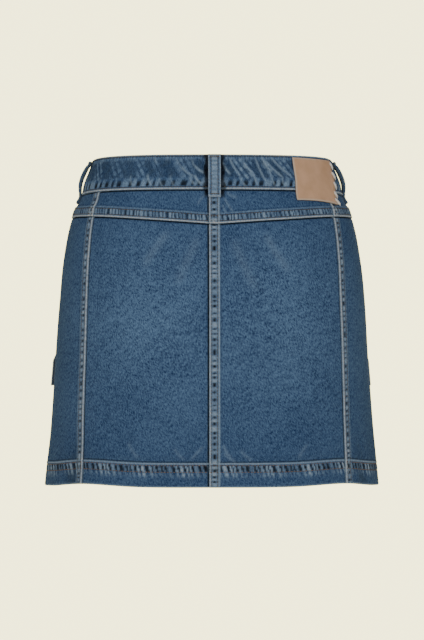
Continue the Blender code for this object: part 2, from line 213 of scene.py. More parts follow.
def metres_per_degree(angle, below):
    chord = face_point(angle + 0.5, below) - face_point(angle - 0.5, below)
    return np.linalg.norm(chord, axis=-1)


def waist_level(angle):
    """Level of the waistband's top edge, which dips in front."""
    return FRONT_DIP * ((1.0 - np.cos(np.radians(angle))) / 2.0) ** 2


def band_seam_level(angle):
    return waist_level(angle) + BAND_HEIGHT


def folded_angle(angle):
    """Angle from centre back, from 0 to 180, on either side."""
    return np.abs((angle + 180.0) % 360.0 - 180.0)


def yoke_seam_level(angle):
    return yoke_level_at(folded_angle(angle))


def hem_level(angle):
    return hem_level_at(folded_angle(angle))


def arc_reader(level):
    """Return a function that gives the distance round the body, at one level, of an angle."""
    angles = np.linspace(-200.0, 200.0, 1601)
    points = face_point(angles, level(angles))
    steps = np.linalg.norm(np.diff(points, axis=0), axis=1)
    arc = np.concatenate(([0.0], np.cumsum(steps)))
    arc -= np.interp(0.0, angles, arc)
    return lambda angle: np.interp(angle, angles, arc)


band_arc = arc_reader(band_seam_level)
yoke_arc = arc_reader(yoke_seam_level)
hem_arc = arc_reader(hem_level)
ARC_LEVEL = 0.200      # level at which lengths round yokes and panels are measured
cloth_arc = arc_reader(lambda angle: np.full(np.shape(angle), ARC_LEVEL))

# ---------------------------------------------------------------- relief of the sewing
# A relief is four grids: height out, how far the whole wall is pushed in, and how worn
# (pale) and how dark it is there, both from 0 to 1; the dark grid holds unfaded dye and painted shade.
TUCK_LENGTH = 3.0 * MM        # cloth that runs on under the piece sewn over it
TUCK_UNDER = 1.45 * MM        # how far it dips to pass under one layer
TUCK_UNDER_YOKE = 2.75 * MM
TUCK_UNDER_BAND = 1.85 * MM


def ripple(along, pitch, seed):
    """Crests of uneven spacing and strength along a seam, from 0 to 1."""
    turn = 2.0 * np.pi * along / pitch
    phase = turn + 1.3 * np.sin(turn / 5.3 + seed) + 0.8 * np.sin(turn / 2.3 + 1.7 * seed)
    strength = 0.72 + 0.28 * np.sin(turn / 7.7 + 2.9 * seed)
    return smooth_step(0.5 + 0.85 * np.sin(phase)) * strength


def plain(shape):
    """A relief with nothing on it."""
    zero = np.zeros(shape)
    return [zero, zero.copy(), zero.copy(), zero.copy()]


def combine(layers):
    """Lay reliefs over each other: heights add up, and the stronger wear and darkening (dye and painted
    shade) win.
    """
    total = plain(layers[0][0].shape)
    for height, push, wear, dark in layers:
        total[0] = total[0] + height
        total[1] = total[1] + push
        total[2] = np.maximum(total[2], wear)
        total[3] = np.maximum(total[3], dark)
    return total


def raised(height, wear, dark):
    """A relief that leaves the wall's inner face where it is."""
    return [height, np.zeros(height.shape), wear, dark]


def tucked_edge(away, dip):
    """Edge that runs on under another piece; away is the distance from the seam line."""
    push = -dip * (1.0 - smooth_step(away / (1.6 * MM)))
    # Painted shadow along the seam where this edge dips under the piece sewn over it; beside it a wider,
    # softer darkening.
    dark = fade_past(away - 0.7 * MM, 1.7 * MM)
    soft = 0.30 * fade_past(away, 9.0 * MM)
    return [np.zeros(away.shape), push, np.zeros(away.shape), np.maximum(dark, soft)]


def between_rows(away, first, second):
    """1 between two rows of stitches, 0 outside them."""
    past_first = smooth_step((away - first + 0.3 * MM) / (1.2 * MM))
    before_second = smooth_step((second + 0.3 * MM - away) / (1.2 * MM))
    return past_first * before_second


def rounded_over(edge, radius):
    """0 on the face and down to -1 at the edge, round a quarter circle."""
    return np.sqrt(np.clip(1.0 - (1.0 - np.clip(edge / radius, 0.0, 1.0)) ** 2, 0.0, 1.0)) - 1.0


def lapped_edge(away, along, rows, pitch, seed, slant=0.0, lift=0.8 * MM, ladder=1.0, far_side=0.5):
    """Folded edge sewn over its neighbour with two rows of stitches and puckers between them."""
    first, second = rows
    width = second + 2.2 * MM
    strip = (1.0 + rounded_over(away, 1.0 * MM)) * (1.0 - smooth_step((away - width) / (1.4 * MM)))
    crest = ripple(along + slant * away, pitch, seed)
    inner = between_rows(away, first, second) * ladder
    grooves = bell(away - first, 0.8 * MM) + bell(away - second, 0.8 * MM)
    height = lift * strip - 0.40 * MM * grooves + 0.60 * MM * (crest - 0.5) * inner
    wear = strongest(
        bell(away - 0.8 * MM, 1.0 * MM), 0.62 * inner * crest,
        far_side * bell(away - width + 0.4 * MM, 0.8 * MM))
    dark = strongest(
        0.85 * grooves, 0.75 * inner * (1.0 - crest) ** 1.5,
        0.55 * bell(away - width - 1.8 * MM, 1.3 * MM))
    return raised(height, wear, dark * (away > 1.4 * MM))


def dashes_between_rows(relief, away, along, middle, reach, pitch, seed):
    """Hollows in the middle of a double row, one to each pucker, painted dark as their shadow, with pale
    cloth between.
    """
    crest = ripple(along, pitch, seed)
    # Each pucker's dent gets a painted shadow.
    shaded_dash = (1.0 - crest) ** 2 * bell(away - middle, reach)
    pale = bell(away - middle, 1.8 * reach) * (0.40 + 0.30 * crest) * (1.0 - shaded_dash)
    relief[0] = relief[0] - 0.45 * MM * shaded_dash
    relief[2] = np.maximum(relief[2] * (1.0 - shaded_dash), pale)
    relief[3] = np.maximum(relief[3], shaded_dash)
    return relief


def hem_edge(up, along, seed):
    """Turned-up hem, rolled into slanting ropes between and below its two rows of stitches."""
    lower, upper = HEM_ROWS
    crest = ripple(along - 0.30 * up, 6.2 * MM, seed)
    inner = between_rows(up, lower, upper)
    below_row = bell(up - lower + 2.8 * MM, 3.2 * MM) * (up < lower)
    grooves = bell(up - lower, 0.7 * MM) + bell(up - upper, 0.7 * MM)
    fold = bell(up - HEM_DEPTH - 1.6 * MM, 0.8 * MM)
    rolled = -0.9 * MM * (1.0 - smooth_step(up / (1.2 * MM)))
    height = 0.65 * MM * (crest - 0.5) * inner + 0.35 * MM * (crest - 0.5) * below_row
    height = height + 0.50 * MM * fold - 0.45 * MM * grooves + rolled
    wear = strongest(
        0.74 * inner * crest ** 2, 0.68 * below_row * crest ** 2, 0.75 * fold,
        0.70 * bell(up - 0.4 * MM, 1.0 * MM))
    dark = strongest(
        0.90 * inner * (1.0 - crest), 0.70 * grooves, 0.55 * below_row * (1.0 - crest),
        0.80 * bell(up - HEM_DEPTH - 3.6 * MM, 1.5 * MM),
        0.45 * bell(up - HEM_DEPTH - 8.0 * MM, 11.0 * MM))
    return raised(height, wear, dark)


# Rows of stitches, in from the edge that they hold down.
YOKE_ROWS = (2.9 * MM, 9.6 * MM)
CENTRE_ROWS = (2.9 * MM, 9.7 * MM)
SIDE_ROWS = (2.9 * MM, 7.6 * MM)
BAND_ROW = 3.0 * MM
BAND_TOP_ROW = 1.7 * MM
HEM_ROWS = (17.6 * MM, 25.0 * MM)
FRONT_ROWS = (2.2 * MM, 8.6 * MM)


def away_from_side_seam(place, below):
    return (place - seam_angle_at(below)) * metres_per_degree(place, below)


def away_from_centre_back(place, below, sign):
    """Distance from the centre back seam's edge, which lies to the left of the middle."""
    return place * metres_per_degree(np.zeros(np.shape(place)), below) - sign * CENTRE_LAP


def away_from_centre_front(place, below):
    return (180.0 - place) * metres_per_degree(place, below)


def centre_back_edge(place, below, sign):
    away = away_from_centre_back(place, below, sign)
    if sign > 0:
        return tucked_edge(away, TUCK_UNDER)
    pitch, seed = 7.4 * MM, 4.1
    relief = lapped_edge(away, below, CENTRE_ROWS, pitch, seed, lift=0.9 * MM, ladder=0.25, far_side=0.8)
    return dashes_between_rows(relief, away, below, 6.1 * MM, 2.7 * MM, pitch, seed)


def centre_front_edge(place, below, sign):
    away = away_from_centre_front(place, below)
    if sign > 0:
        return tucked_edge(away, TUCK_UNDER)
    return lapped_edge(away, below, FRONT_ROWS, 7.9 * MM, 2.3, ladder=0.6)


def side_seam_edge(place, below, sign):
    away = away_from_side_seam(place, below)
    pitch, seed = 7.2 * MM, 1.3 + sign
    relief = lapped_edge(away, below, SIDE_ROWS, pitch, seed, lift=0.7 * MM, ladder=0.25, far_side=0.2)
    return dashes_between_rows(relief, away, below, 5.1 * MM, 1.6 * MM, pitch, seed)


def yoke_bottom_edge(place, below, sign):
    up = yoke_seam_level(place) - below
    along = yoke_arc(sign * place)
    return lapped_edge(up, along, YOKE_ROWS, 4.6 * MM, 0.7 + sign, slant=-0.15, lift=0.9 * MM, far_side=0.3)


# Creases on yokes and panels.  For both ends: mm from centre back to the wearer's left (+) or
# right (-), and mm below the back top edge.  Then the strength, and the width in mm.  The wide
# ones are the soft whiskers that sitting wears into seat and hips.
CLOTH_CREASES = (
    (-13.0, 50.0, -24.0, 67.0, 0.34, 1.4),
    (-10.5, 58.0, -16.0, 69.0, 0.30, 1.4),
    (-16.0, 44.0, -30.0, 50.0, 0.26, 1.5),
    (13.0, 47.0, 22.0, 58.0, 0.22, 1.5),
    (-9.0, 332.0, -17.0, 346.0, 0.28, 1.6),
    (-10.0, 341.0, -22.0, 351.0, 0.26, 1.6),
    (-28.0, 338.0, -40.0, 350.0, 0.20, 1.8),
    (12.0, 334.0, 25.0, 348.0, 0.20, 1.7),
    (44.0, 336.0, 33.0, 349.0, 0.17, 1.8),
    (96.0, 330.0, 84.0, 347.0, 0.18, 2.0),
    (-104.0, 332.0, -92.0, 348.0, 0.18, 2.0),
    (58.0, 90.0, 84.0, 128.0, 0.16, 5.0),
    (-62.0, 92.0, -88.0, 134.0, 0.16, 5.0),
    (20.0, 96.0, 44.0, 150.0, 0.12, 5.5),
    (-22.0, 98.0, -48.0, 156.0, 0.12, 5.5),
    (300.0, 70.0, 268.0, 96.0, 0.22, 4.5),
    (-300.0, 72.0, -264.0, 100.0, 0.22, 4.5),
    (310.0, 92.0, 262.0, 128.0, 0.18, 5.0),
    (-312.0, 94.0, -268.0, 134.0, 0.18, 5.0),
    (330.0, 330.0, 318.0, 348.0, 0.20, 2.0),
    (-270.0, 331.0, -258.0, 349.0, 0.20, 2.0),
)


def crease_line(along, down, start, end, strength, width=1.1 * MM):
    """Ridge along a slightly bowed line, with a trough on its lower side painted dark as shade, where unfaded
    dye also stays.
    """
    start = np.array(start)
    run = np.array(end) - start
    length = np.hypot(*run)
    run = run / length
    share = ((along - start[0]) * run[0] + (down - start[1]) * run[1]) / length
    side = (along - start[0]) * run[1] - (down - start[1]) * run[0]
    side = side - 0.9 * MM * np.sin(np.pi * np.clip(share, 0.0, 1.0))
    fade = smooth_step((share + 0.12) / 0.3) * smooth_step((1.12 - share) / 0.3)
    ridge = bell(side, width) * fade * strength
    # Painted shade in the trough on one side of the ridge.
    shaded_trough = bell(side - 2.4 * width, 1.8 * width) * fade * strength
    height = 0.60 * MM * ridge - 0.45 * MM * shaded_trough
    return raised(height, 0.85 * ridge, 0.75 * shaded_trough)


def cloth_creases(place, below, sign):
    """The creases of yokes and panels, as one half shows them."""
    along = cloth_arc(sign * place)
    layers = [plain(np.shape(along))]
    for start_along, start_below, end_along, end_below, strength, width in CLOTH_CREASES:
        ends = (start_along * MM, start_below * MM), (end_along * MM, end_below * MM)
        layers.append(crease_line(along, below, *ends, strength, width * MM))
    return combine(layers)


DEEP_DYE_AND_SIDE_SHADE = 0.46      # how dark the cloth is where wear has not reached: unfaded dye, which also paints the shade of the sides


def soft_waves(place, below, sign):
    """Slow unevenness of cloth that has been worn and washed, faded most on seat and thighs, with painted
    shade down the sides, in the folds' hollows and beside the belt loops.
    """
    along = cloth_arc(sign * place)
    height = 0.35 * MM * np.sin(along / 0.031 + 3.0 * np.sin(below / 0.090) + sign)
    height = height + 0.25 * MM * np.sin(below / 0.023 + 2.0 * np.sin(along / 0.060))
    height = height * smooth_step((below - 0.10) / 0.08)
    seat = bell(place - 21.0, 34.0)
    thigh = bell(place - 154.0, 26.0)
    faded = bell(below - 0.185, 0.115) * np.maximum(seat, thigh)
    # Painted shade in the hollows of the folds.
    fold_shade = smooth_step(-fold_height(sign * place, below) / (2.2 * MM))
    # Away from seat and thighs the cloth stays dark: unfaded dye, and painted shade on the sides.
    dark = np.maximum(DEEP_DYE_AND_SIDE_SHADE * (1.0 - faded) + 0.20 * fold_shade, painted_shadow_beside_loops(sign * place, below))
    return raised(height, np.zeros(height.shape), dark)


# ---------------------------------------------------------------- sizes of loops, patch, pockets and fly
LOOP_WIDTH = 14.5 * MM
LOOP_THICK = 2.4 * MM
LOOP_PLUMP = 0.6 * MM         # how far the folded loop swells outward
LOOP_SLACK = 1.5 * MM         # how much its folds open inward where it stands free
LOOP_TOP = 0.5 * MM
LOOP_DROP = 49.5 * MM
LOOP_HEAD = 4.0 * MM
LOOP_FOOT = 12.0 * MM
LOOP_SKEW = 0.8
LOOP_ROW = 3.4 * MM           # its rows of stitches, in from its sides
SIDE_LOOP_ANGLE = 88.0
SIDE_SHADE_REACH = 34.0 * MM       # how far behind a side loop the band's painted shade reaches
# name, angle, how far it stands off the band
BELT_LOOPS = (
    ("belt_loop_back", 0.0, 5.3 * MM),
    ("belt_loop_side_left", SIDE_LOOP_ANGLE, 3.4 * MM),
    ("belt_loop_side_right", -SIDE_LOOP_ANGLE, 3.4 * MM),
    ("belt_loop_front_left", 146.0, 4.0 * MM),
    ("belt_loop_front_right", -146.0, 4.0 * MM),
)
# angle and below at the inner and outer edge
PATCH_TOP = ((-36.2, 0.0030), (-64.6, 0.0048))
PATCH_BOTTOM = ((-35.0, 0.0526), (-59.5, 0.0568))
PATCH_THICK = 1.6 * MM
PATCH_BOW = 1.3 * MM          # how far its lower edge arches up between its corners

POCKET_ANGLES = (108.5, 152.0)
POCKET_LEVELS = (0.236, 0.345)
POCKET_RAISE = 8.0 * MM
POCKET_MOUTH_RAISE = 7.0 * MM
POCKET_CORNER = 0.07
POCKET_FOOT = LAY_GAP + 0.9 * MM
POCKET_ROW = 2.4 * MM         # first row of stitches, in from a pocket's edges
FLAP_MARGIN_ANGLE = 1.3
FLAP_ANGLES = (POCKET_ANGLES[0] - FLAP_MARGIN_ANGLE, POCKET_ANGLES[1] + FLAP_MARGIN_ANGLE)
FLAP_LEVELS = (0.2255, 0.2690)
FLAP_CLEAR = 1.2 * MM
FLY_REACH = 36.0 * MM         # from centre front to the fly's outer row
FLY_TURN = 0.140              # level where the fly's rows start to curve
FLY_BOTTOM = 0.172


def away_from_loop(angle, centre):
    """Distance along the band from a belt loop's side, below 0 under the loop."""
    return np.abs(band_arc(angle) - band_arc(centre)) - LOOP_WIDTH / 2.0


def clear_of_what_lies_on_it(angle):
    """0 under the belt loops and the patch, which press the band's creases flat, 1 elsewhere."""
    clear = np.ones(np.shape(angle))
    for _, centre, _ in BELT_LOOPS:
        clear = clear * smooth_step(away_from_loop(angle, centre) / (3.0 * MM))
    middle = 0.5 * (PATCH_TOP[0][0] + PATCH_TOP[1][0])
    half = 0.5 * abs(PATCH_TOP[0][0] - PATCH_TOP[1][0])
    return clear * smooth_step((np.abs(angle - middle) - half) / 2.0)


def painted_shadow_beside_loops(angle, below):
    """Painted shadow beside the belt loops, and the unfaded dye under them."""
    dark = np.zeros(np.shape(angle))
    for _, centre, _ in BELT_LOOPS:
        to_foot = LOOP_TOP + LOOP_DROP + 6.0 * MM - (below - waist_level(angle))
        reach = smooth_step(to_foot / (11.0 * MM))
        away = away_from_loop(angle, centre)
        past = np.maximum(away - 2.6 * MM - 1.8 * MM * ripple(below, 17.0 * MM, centre), 0.0)
        # Painted shadow: darkest close beside a loop, fainter further round.
        deepest = bell(past, 2.8 * MM)
        around = 0.50 * bell(past, 9.0 * MM)
        dark = np.maximum(dark, np.maximum(deepest, around) * reach)
    return dark


def painted_shade_behind_side_loops(angle, below):
    """Painted shade on the band's sides behind the side loops, reaching furthest near the top."""
    down = (below - waist_level(angle)) / BAND_HEIGHT
    dark = np.zeros(np.shape(angle))
    for side in (1.0, -1.0):
        behind = band_arc(side * SIDE_LOOP_ANGLE) * side - band_arc(angle) * side
        reach = SIDE_SHADE_REACH * (1.0 - 0.55 * np.clip(down, 0.0, 1.0))
        past = smooth_step((behind - reach + 8.0 * MM) / (18.0 * MM))
        # Painted shade, fading out towards its reach.
        dark = np.maximum(dark, (behind > 0.0) * (1.0 - past))
    return 0.90 * dark


# ---------------------------------------------------------------- waistband creases
# Seen on the back of the band.  For both ends: mm from centre back to the wearer's left (+)
# or right (-), and mm below the band's top edge.  Then the strength.
BAND_CREASES = (
    (-10.0, 9.0, -18.5, 23.0, 0.85),
    (-18.5, 4.0, -31.0, 26.0, 0.76),
    (-29.5, 25.0, -36.0, 37.0, 0.60),
    (-35.0, 8.0, -46.5, 22.0, 0.85),
    (-46.5, 22.0, -50.5, 36.0, 0.76),
    (-50.5, 3.0, -61.0, 34.0, 0.68),
    (-59.0, 3.0, -68.0, 20.0, 0.85),
    (-66.0, 16.0, -70.0, 36.0, 0.60),
    (-62.0, 6.0, -82.0, 27.0, 0.76),
    (-80.0, 26.0, -83.0, 37.0, 0.60),
    (-70.0, 3.0, -92.0, 25.0, 0.76),
    (26.5, 6.0, 24.0, 14.0, 0.50),
    (24.0, 13.0, 11.5, 22.0, 0.85),
    (47.0, 4.0, 40.5, 14.0, 0.50),
    (40.5, 14.0, 24.0, 26.0, 0.68),
    (23.5, 24.0, 14.5, 35.0, 0.85),
    (30.0, 26.0, 20.5, 36.0, 0.60),
    (73.0, 3.0, 69.5, 11.0, 0.60),
    (79.0, 23.0, 72.5, 36.0, 0.76),
    (64.0, 27.0, 60.0, 37.0, 0.50),
    (100.0, 24.0, 95.0, 37.0, 0.50),
    (52.0, 24.0, 46.0, 37.0, 0.42),
)
# The sides and front crease in the same way; these are listed as: angle, mm below
# the band's top edge, lean in mm, height in mm, strength.
HIDDEN_CREASES = (
    (74.0, 22.0, -6.0, 13.0, 0.6),
    (99.0, 8.0, -7.0, 13.0, 0.6),
    (105.0, 21.0, -5.0, 12.0, 0.4),
    (119.0, 6.0, -9.0, 18.0, 0.7),
    (127.0, 20.0, -6.0, 14.0, 0.5),
    (138.0, 5.0, -8.0, 14.0, 0.5),
    (158.0, 12.0, -9.0, 18.0, 0.7),
    (165.0, 4.0, -7.0, 20.0, 0.6),
    (-78.0, 20.0, -5.0, 13.0, 0.4),
    (-99.0, 6.0, -8.0, 16.0, 0.6),
    (-109.0, 19.0, -5.0, 14.0, 0.5),
    (-122.0, 5.0, -9.0, 20.0, 0.7),
    (-133.0, 22.0, -4.0, 13.0, 0.4),
    (-154.0, 8.0, -8.0, 18.0, 0.6),
    (-167.0, 16.0, -9.0, 16.0, 0.7),
)


def band_relief(angle, below):
    """The waistband: top row, creases, puckers and the folded lower edge."""
    along = band_arc(angle)
    down = below - waist_level(angle)
    up = band_seam_level(angle) - below
    layers = []
    for start_along, start_down, end_along, end_down, strength in BAND_CREASES:
        ends = (start_along * MM, start_down * MM), (end_along * MM, end_down * MM)
        layers.append(crease_line(along, down, *ends, strength))
    for at, top, lean, tall, strength in HIDDEN_CREASES:
        start = (float(band_arc(at)), top * MM)
        end = (start[0] + lean * MM, (top + tall) * MM)
        layers.append(crease_line(along, down, start, end, strength))

    crest = ripple(along - 0.25 * down, 10.5 * MM, 5.0)
    small = ripple(along, 3.1 * MM, 2.0)
    slanted = ripple(along + 0.70 * down, 7.5 * MM, 1.0) * ripple(along + 0.4 * down, 31.0 * MM, 3.0)
    slanted = slanted * (0.30 + 0.70 * ripple(down - 0.60 * along, 11.0 * MM, 6.0))
    near_seam = smooth_step((up - BAND_ROW) / (2.0 * MM))
    near_seam = near_seam * fade_past(up - 7.0 * MM, 6.0 * MM)
    near_top = smooth_step((down - BAND_TOP_ROW) / (2.0 * MM))
    near_top = near_top * fade_past(down - 4.0 * MM, 3.2 * MM)
    middle = smooth_step((down - 3.0 * MM) / (4.0 * MM)) * smooth_step((up - 9.0 * MM) / (6.0 * MM))
    groove = bell(up - BAND_ROW, 0.8 * MM)
    top_groove = bell(down - BAND_TOP_ROW, 0.8 * MM)
    height = 0.6 * MM * rounded_over(up, 1.1 * MM) - 0.35 * MM * groove - 0.25 * MM * top_groove
    height = height + 0.45 * MM * (crest - 0.4) * near_seam + 0.22 * MM * (small - 0.4) * near_top
    height = height + 0.40 * MM * (slanted - 0.3) * middle
    height = height + 0.35 * MM * bell(up - 1.3 * MM, 1.0 * MM)
    height = height - 0.5 * MM * (1.0 - smooth_step(down / (1.0 * MM)))
    wear = strongest(
        bell(up - 1.0 * MM, 1.0 * MM), 0.42 * crest * near_seam, 0.34 * small * near_top,
        0.62 * slanted * middle, 0.80 * bell(down - 0.5 * MM, 0.9 * MM))
    dark = strongest(
        0.85 * groove, 0.88 * (1.0 - crest) ** 1.5 * near_seam, 0.85 * bell(down - 2.3 * MM, 1.0 * MM),
        0.40 * (1.0 - small) ** 2 * near_top, 0.60 * (1.0 - slanted) ** 2 * middle)
    layers.append(raised(height, wear, dark))
    relief = combine(layers)
    relief[0] = relief[0] * clear_of_what_lies_on_it(angle)
    # Painted shade beside and behind the loops, which also dims the pale wear there.
    loop_shade = np.maximum(painted_shadow_beside_loops(angle, below), painted_shade_behind_side_loops(angle, below))
    relief[2] = relief[2] * (1.0 - 0.75 * smooth_step((loop_shade - 0.5) / 0.4))
    relief[3] = np.maximum(relief[3], loop_shade)
    return relief


# ---------------------------------------------------------------- grids and meshes
GRID_ROUNDS = 10


def graded(length, fine, coarse, start_zone, end_zone):
    """Shares of a length, close together in a zone at each end and wider between."""
    at = np.linspace(0.0, length, 2000)
    near = np.maximum(1.0 - smooth_step((at - start_zone) / (6.0 * MM)),
                      1.0 - smooth_step((length - end_zone - at) / (6.0 * MM)))
    density = 1.0 / (coarse + (fine - coarse) * near)
    count = np.concatenate(([0.0], np.cumsum(0.5 * (density[1:] + density[:-1]) * np.diff(at))))
    cells = max(2, round(float(count[-1])))
    return np.interp(np.linspace(0.0, count[-1], cells + 1), count, at) / length


def place_grid(first_edge, last_edge, top, bottom, columns, rows):
    """Angles and levels of a grid between two upright edges and two levels.

    Edges are angles that depend on the level, and levels depend on the angle, so a few
    rounds settle both.
    """
    share_round, share_down = np.meshgrid(columns, rows)
    below = np.full(share_round.shape, ARC_LEVEL)
    for _ in range(GRID_ROUNDS):
        angle = first_edge(below) + (last_edge(below) - first_edge(below)) * share_round
        below = top(angle) + (bottom(angle) - top(angle)) * share_down
    return angle, below


def steady(value):
    """An edge or level that stays the same all along."""
    return lambda at: np.full(np.shape(at), float(value))


def level_beside(level, shift):
    return lambda angle: level(angle) + shift


def edge_beside(seam, shift):
    """A seam's angle, moved round the body by a distance."""
    return lambda below: seam(below) + shift / metres_per_degree(seam(below), below)


def grid_normals(points):
    """Normals of a grid of points whose columns run with the angle and rows downward."""
    round_body = np.gradient(points, axis=1)
    down_body = np.gradient(points, axis=0)
    return unit(np.cross(round_body, down_body))


TURNED_UNDERSIDE_SHADE = (0.10, 0.95)      # wear and darkness of a folded strip's under side: unworn dye, but mostly painted shade


def shell_mesh(name, outer, inner, wash, angle, below, mirrored=False, turned=False):
    """Closed shell between two grids of points, with its wash colours and cloth coordinates.

    wash holds wear and dark for the outer face; its third channel marks the inner face.
    A turned strip has the same face out on both sides, as its edges are folded round; its under side is
    painted dark as shade.
    """
    rows, columns = outer.shape[:2]
    count = rows * columns
    points = np.concatenate((outer.reshape(-1, 3), inner.reshape(-1, 3)))
    number = np.arange(count).reshape(rows, columns)
    corners = (number[:-1, :-1], number[:-1, 1:], number[1:, 1:], number[1:, :-1])
    quads = np.stack(corners, axis=-1).reshape(-1, 4)
    rim = np.concatenate((number[0, :], number[1:, -1], number[-1, -2::-1], number[-2:0:-1, 0]))
    after = np.roll(rim, -1)
    rim_quads = np.stack((rim, rim + count, after + count, after), axis=-1)
    faces = np.concatenate((quads, quads[:, ::-1] + count, rim_quads))
    if mirrored:
        faces = faces[:, ::-1]
    data = bpy.data.meshes.new(name)
    data.from_pydata(points, [], faces.tolist())
    colours = np.zeros((2 * count, 4), np.float32)
    colours[:, 3] = 1.0
    colours[:count, 0] = np.clip(wash[0], 0.0, 1.0).ravel()
    colours[:count, 1] = np.clip(wash[1], 0.0, 1.0).ravel()
    if turned:
        # The under side of a turned strip gets painted shade.
        colours[count:, :2] = TURNED_UNDERSIDE_SHADE
    else:
        colours[count:, 2] = 1.0
    layer = data.color_attributes.new("wash", "FLOAT_COLOR", "POINT")
    layer.data.foreach_set("color", colours.ravel())
    uv = np.tile(np.stack((cloth_arc(angle), -below), axis=-1).reshape(-1, 2), (2, 1))
    corner_points = np.empty(len(data.loops), np.int32)
    data.loops.foreach_get("vertex_index", corner_points)
    corner_uv = uv[corner_points].astype(np.float32)
    data.uv_layers.new(name="cloth").data.foreach_set("uv", corner_uv.ravel())
    data.shade_smooth()
    data.set_sharp_from_angle(angle=math.radians(60.0))
    return data


def new_object(name, data):
    piece = bpy.data.objects.new(name, data)
    bpy.context.scene.collection.objects.link(piece)
    return piece


def mesh_from(name, mesh):
    """Turn a bmesh into mesh data and free it."""
    data = bpy.data.meshes.new(name)
    mesh.to_mesh(data)
    mesh.free()
    return data


def show(name, data, finish, slot, *nodes):
    """Put a mesh into the scene as a piece that rides on the body and stands for CAD nodes."""
    data.materials.append(finish)
    piece = new_object(name, data)
    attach(piece, "root")
    if nodes:
        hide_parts(*nodes)
    return piece


def finished_shell(name, place, below, sign, out, thick, relief, turned=False):
    """A sewn piece of denim: the wall of its CAD node with its sewing modelled on it.

    out and relief are functions of place and level, which its stitches use again.
    """
    height, push, wear, dark = relief(place, below)
    angle = sign * place
    face = out(place, below)
    outer = cloth_point(angle, below, face + push + height)
    inner = cloth_point(angle, below, face + push - thick)
    data = shell_mesh(name, outer, inner, (wear, dark), angle, below, mirrored=sign < 0, turned=turned)
    SURFACES[name] = (relief, sign, out)
    return show(f"{name}_cloth", data, denim, "denim", name)


# ---------------------------------------------------------------- materials
def colour_of(red, green, blue):
    """Linear colour of a display colour given from 0 to 255."""
    channels = np.array((red, green, blue)) / 255.0
    linear = np.where(channels <= 0.04045, channels / 12.92, ((channels + 0.055) / 1.055) ** 2.4)
    return (*linear.tolist(), 1.0)


class Nodes:
    """Short hand for building one material's nodes."""

    def __init__(self, name):
        self.material = bpy.data.materials.new(name)
        self.material.use_nodes = True
        self.tree = self.material.node_tree
        self.shader = self.tree.nodes["Principled BSDF"]

    def add(self, kind, inputs=(), **settings):
        node = self.tree.nodes.new(kind)
        for key, value in settings.items():
            setattr(node, key, value)
        for key, value in dict(inputs).items():
            self.feed(node, key, value)
        return node

    def feed(self, node, key, value):
        if isinstance(value, bpy.types.NodeSocket):
            self.tree.links.new(value, node.inputs[key])
        else:
            node.inputs[key].default_value = value

    def math(self, operation, first, second=0.0, third=0.0):
        node = self.add("ShaderNodeMath", {0: first, 1: second, 2: third}, operation=operation)
        return node.outputs[0]

    def mix(self, share, first, second, blend="MIX"):
        node = self.add("ShaderNodeMix", data_type="RGBA", blend_type=blend)
        for key, value in ((0, share), (6, first), (7, second)):
            self.feed(node, key, value)
        return node.outputs[2]

    def range(self, value, low, high, start=0.0, end=1.0):
        node = self.add("ShaderNodeMapRange", {
            "Value": value, "From Min": low, "From Max": high, "To Min": start, "To Max": end})
        return node.outputs["Result"]

    def cloth_place(self, lean=0.0, length=1.0):
        """Coordinates along the cloth in metres; features grow longer along an upright that leans."""
        uv = self.add("ShaderNodeUVMap", uv_map="cloth").outputs[0]
        placed = self.add("ShaderNodeMapping", {
            "Vector": uv, "Rotation": (0.0, 0.0, math.radians(lean)), "Scale": (1.0, length, 1.0)},
            vector_type="TEXTURE")
        return placed.outputs[0]

    def object_place(self):
        return self.add("ShaderNodeTexCoord").outputs["Object"]

    def wash_channels(self):
        wash = self.add("ShaderNodeAttribute", attribute_name="wash")
        return self.add("ShaderNodeSeparateColor", {"Color": wash.outputs["Color"]}).outputs

    def finish(self, colour, roughness, relief, strength, distance):
        """Feed the shader its colour, roughness and fine bump, and give back the material."""
        bump = self.add("ShaderNodeBump", {"Height": relief, "Strength": strength, "Distance": distance})
        for key, value in (("Base Color", colour), ("Roughness", roughness), ("Normal", bump.outputs[0])):
            self.feed(self.shader, key, value)
        return self.material

    def noise(self, where, size, detail=2.0, roughness=0.5):
        node = self.add("ShaderNodeTexNoise", {
            "Vector": where, "Scale": 1.0 / size, "Detail": detail, "Roughness": roughness})
        return node.outputs["Fac"]


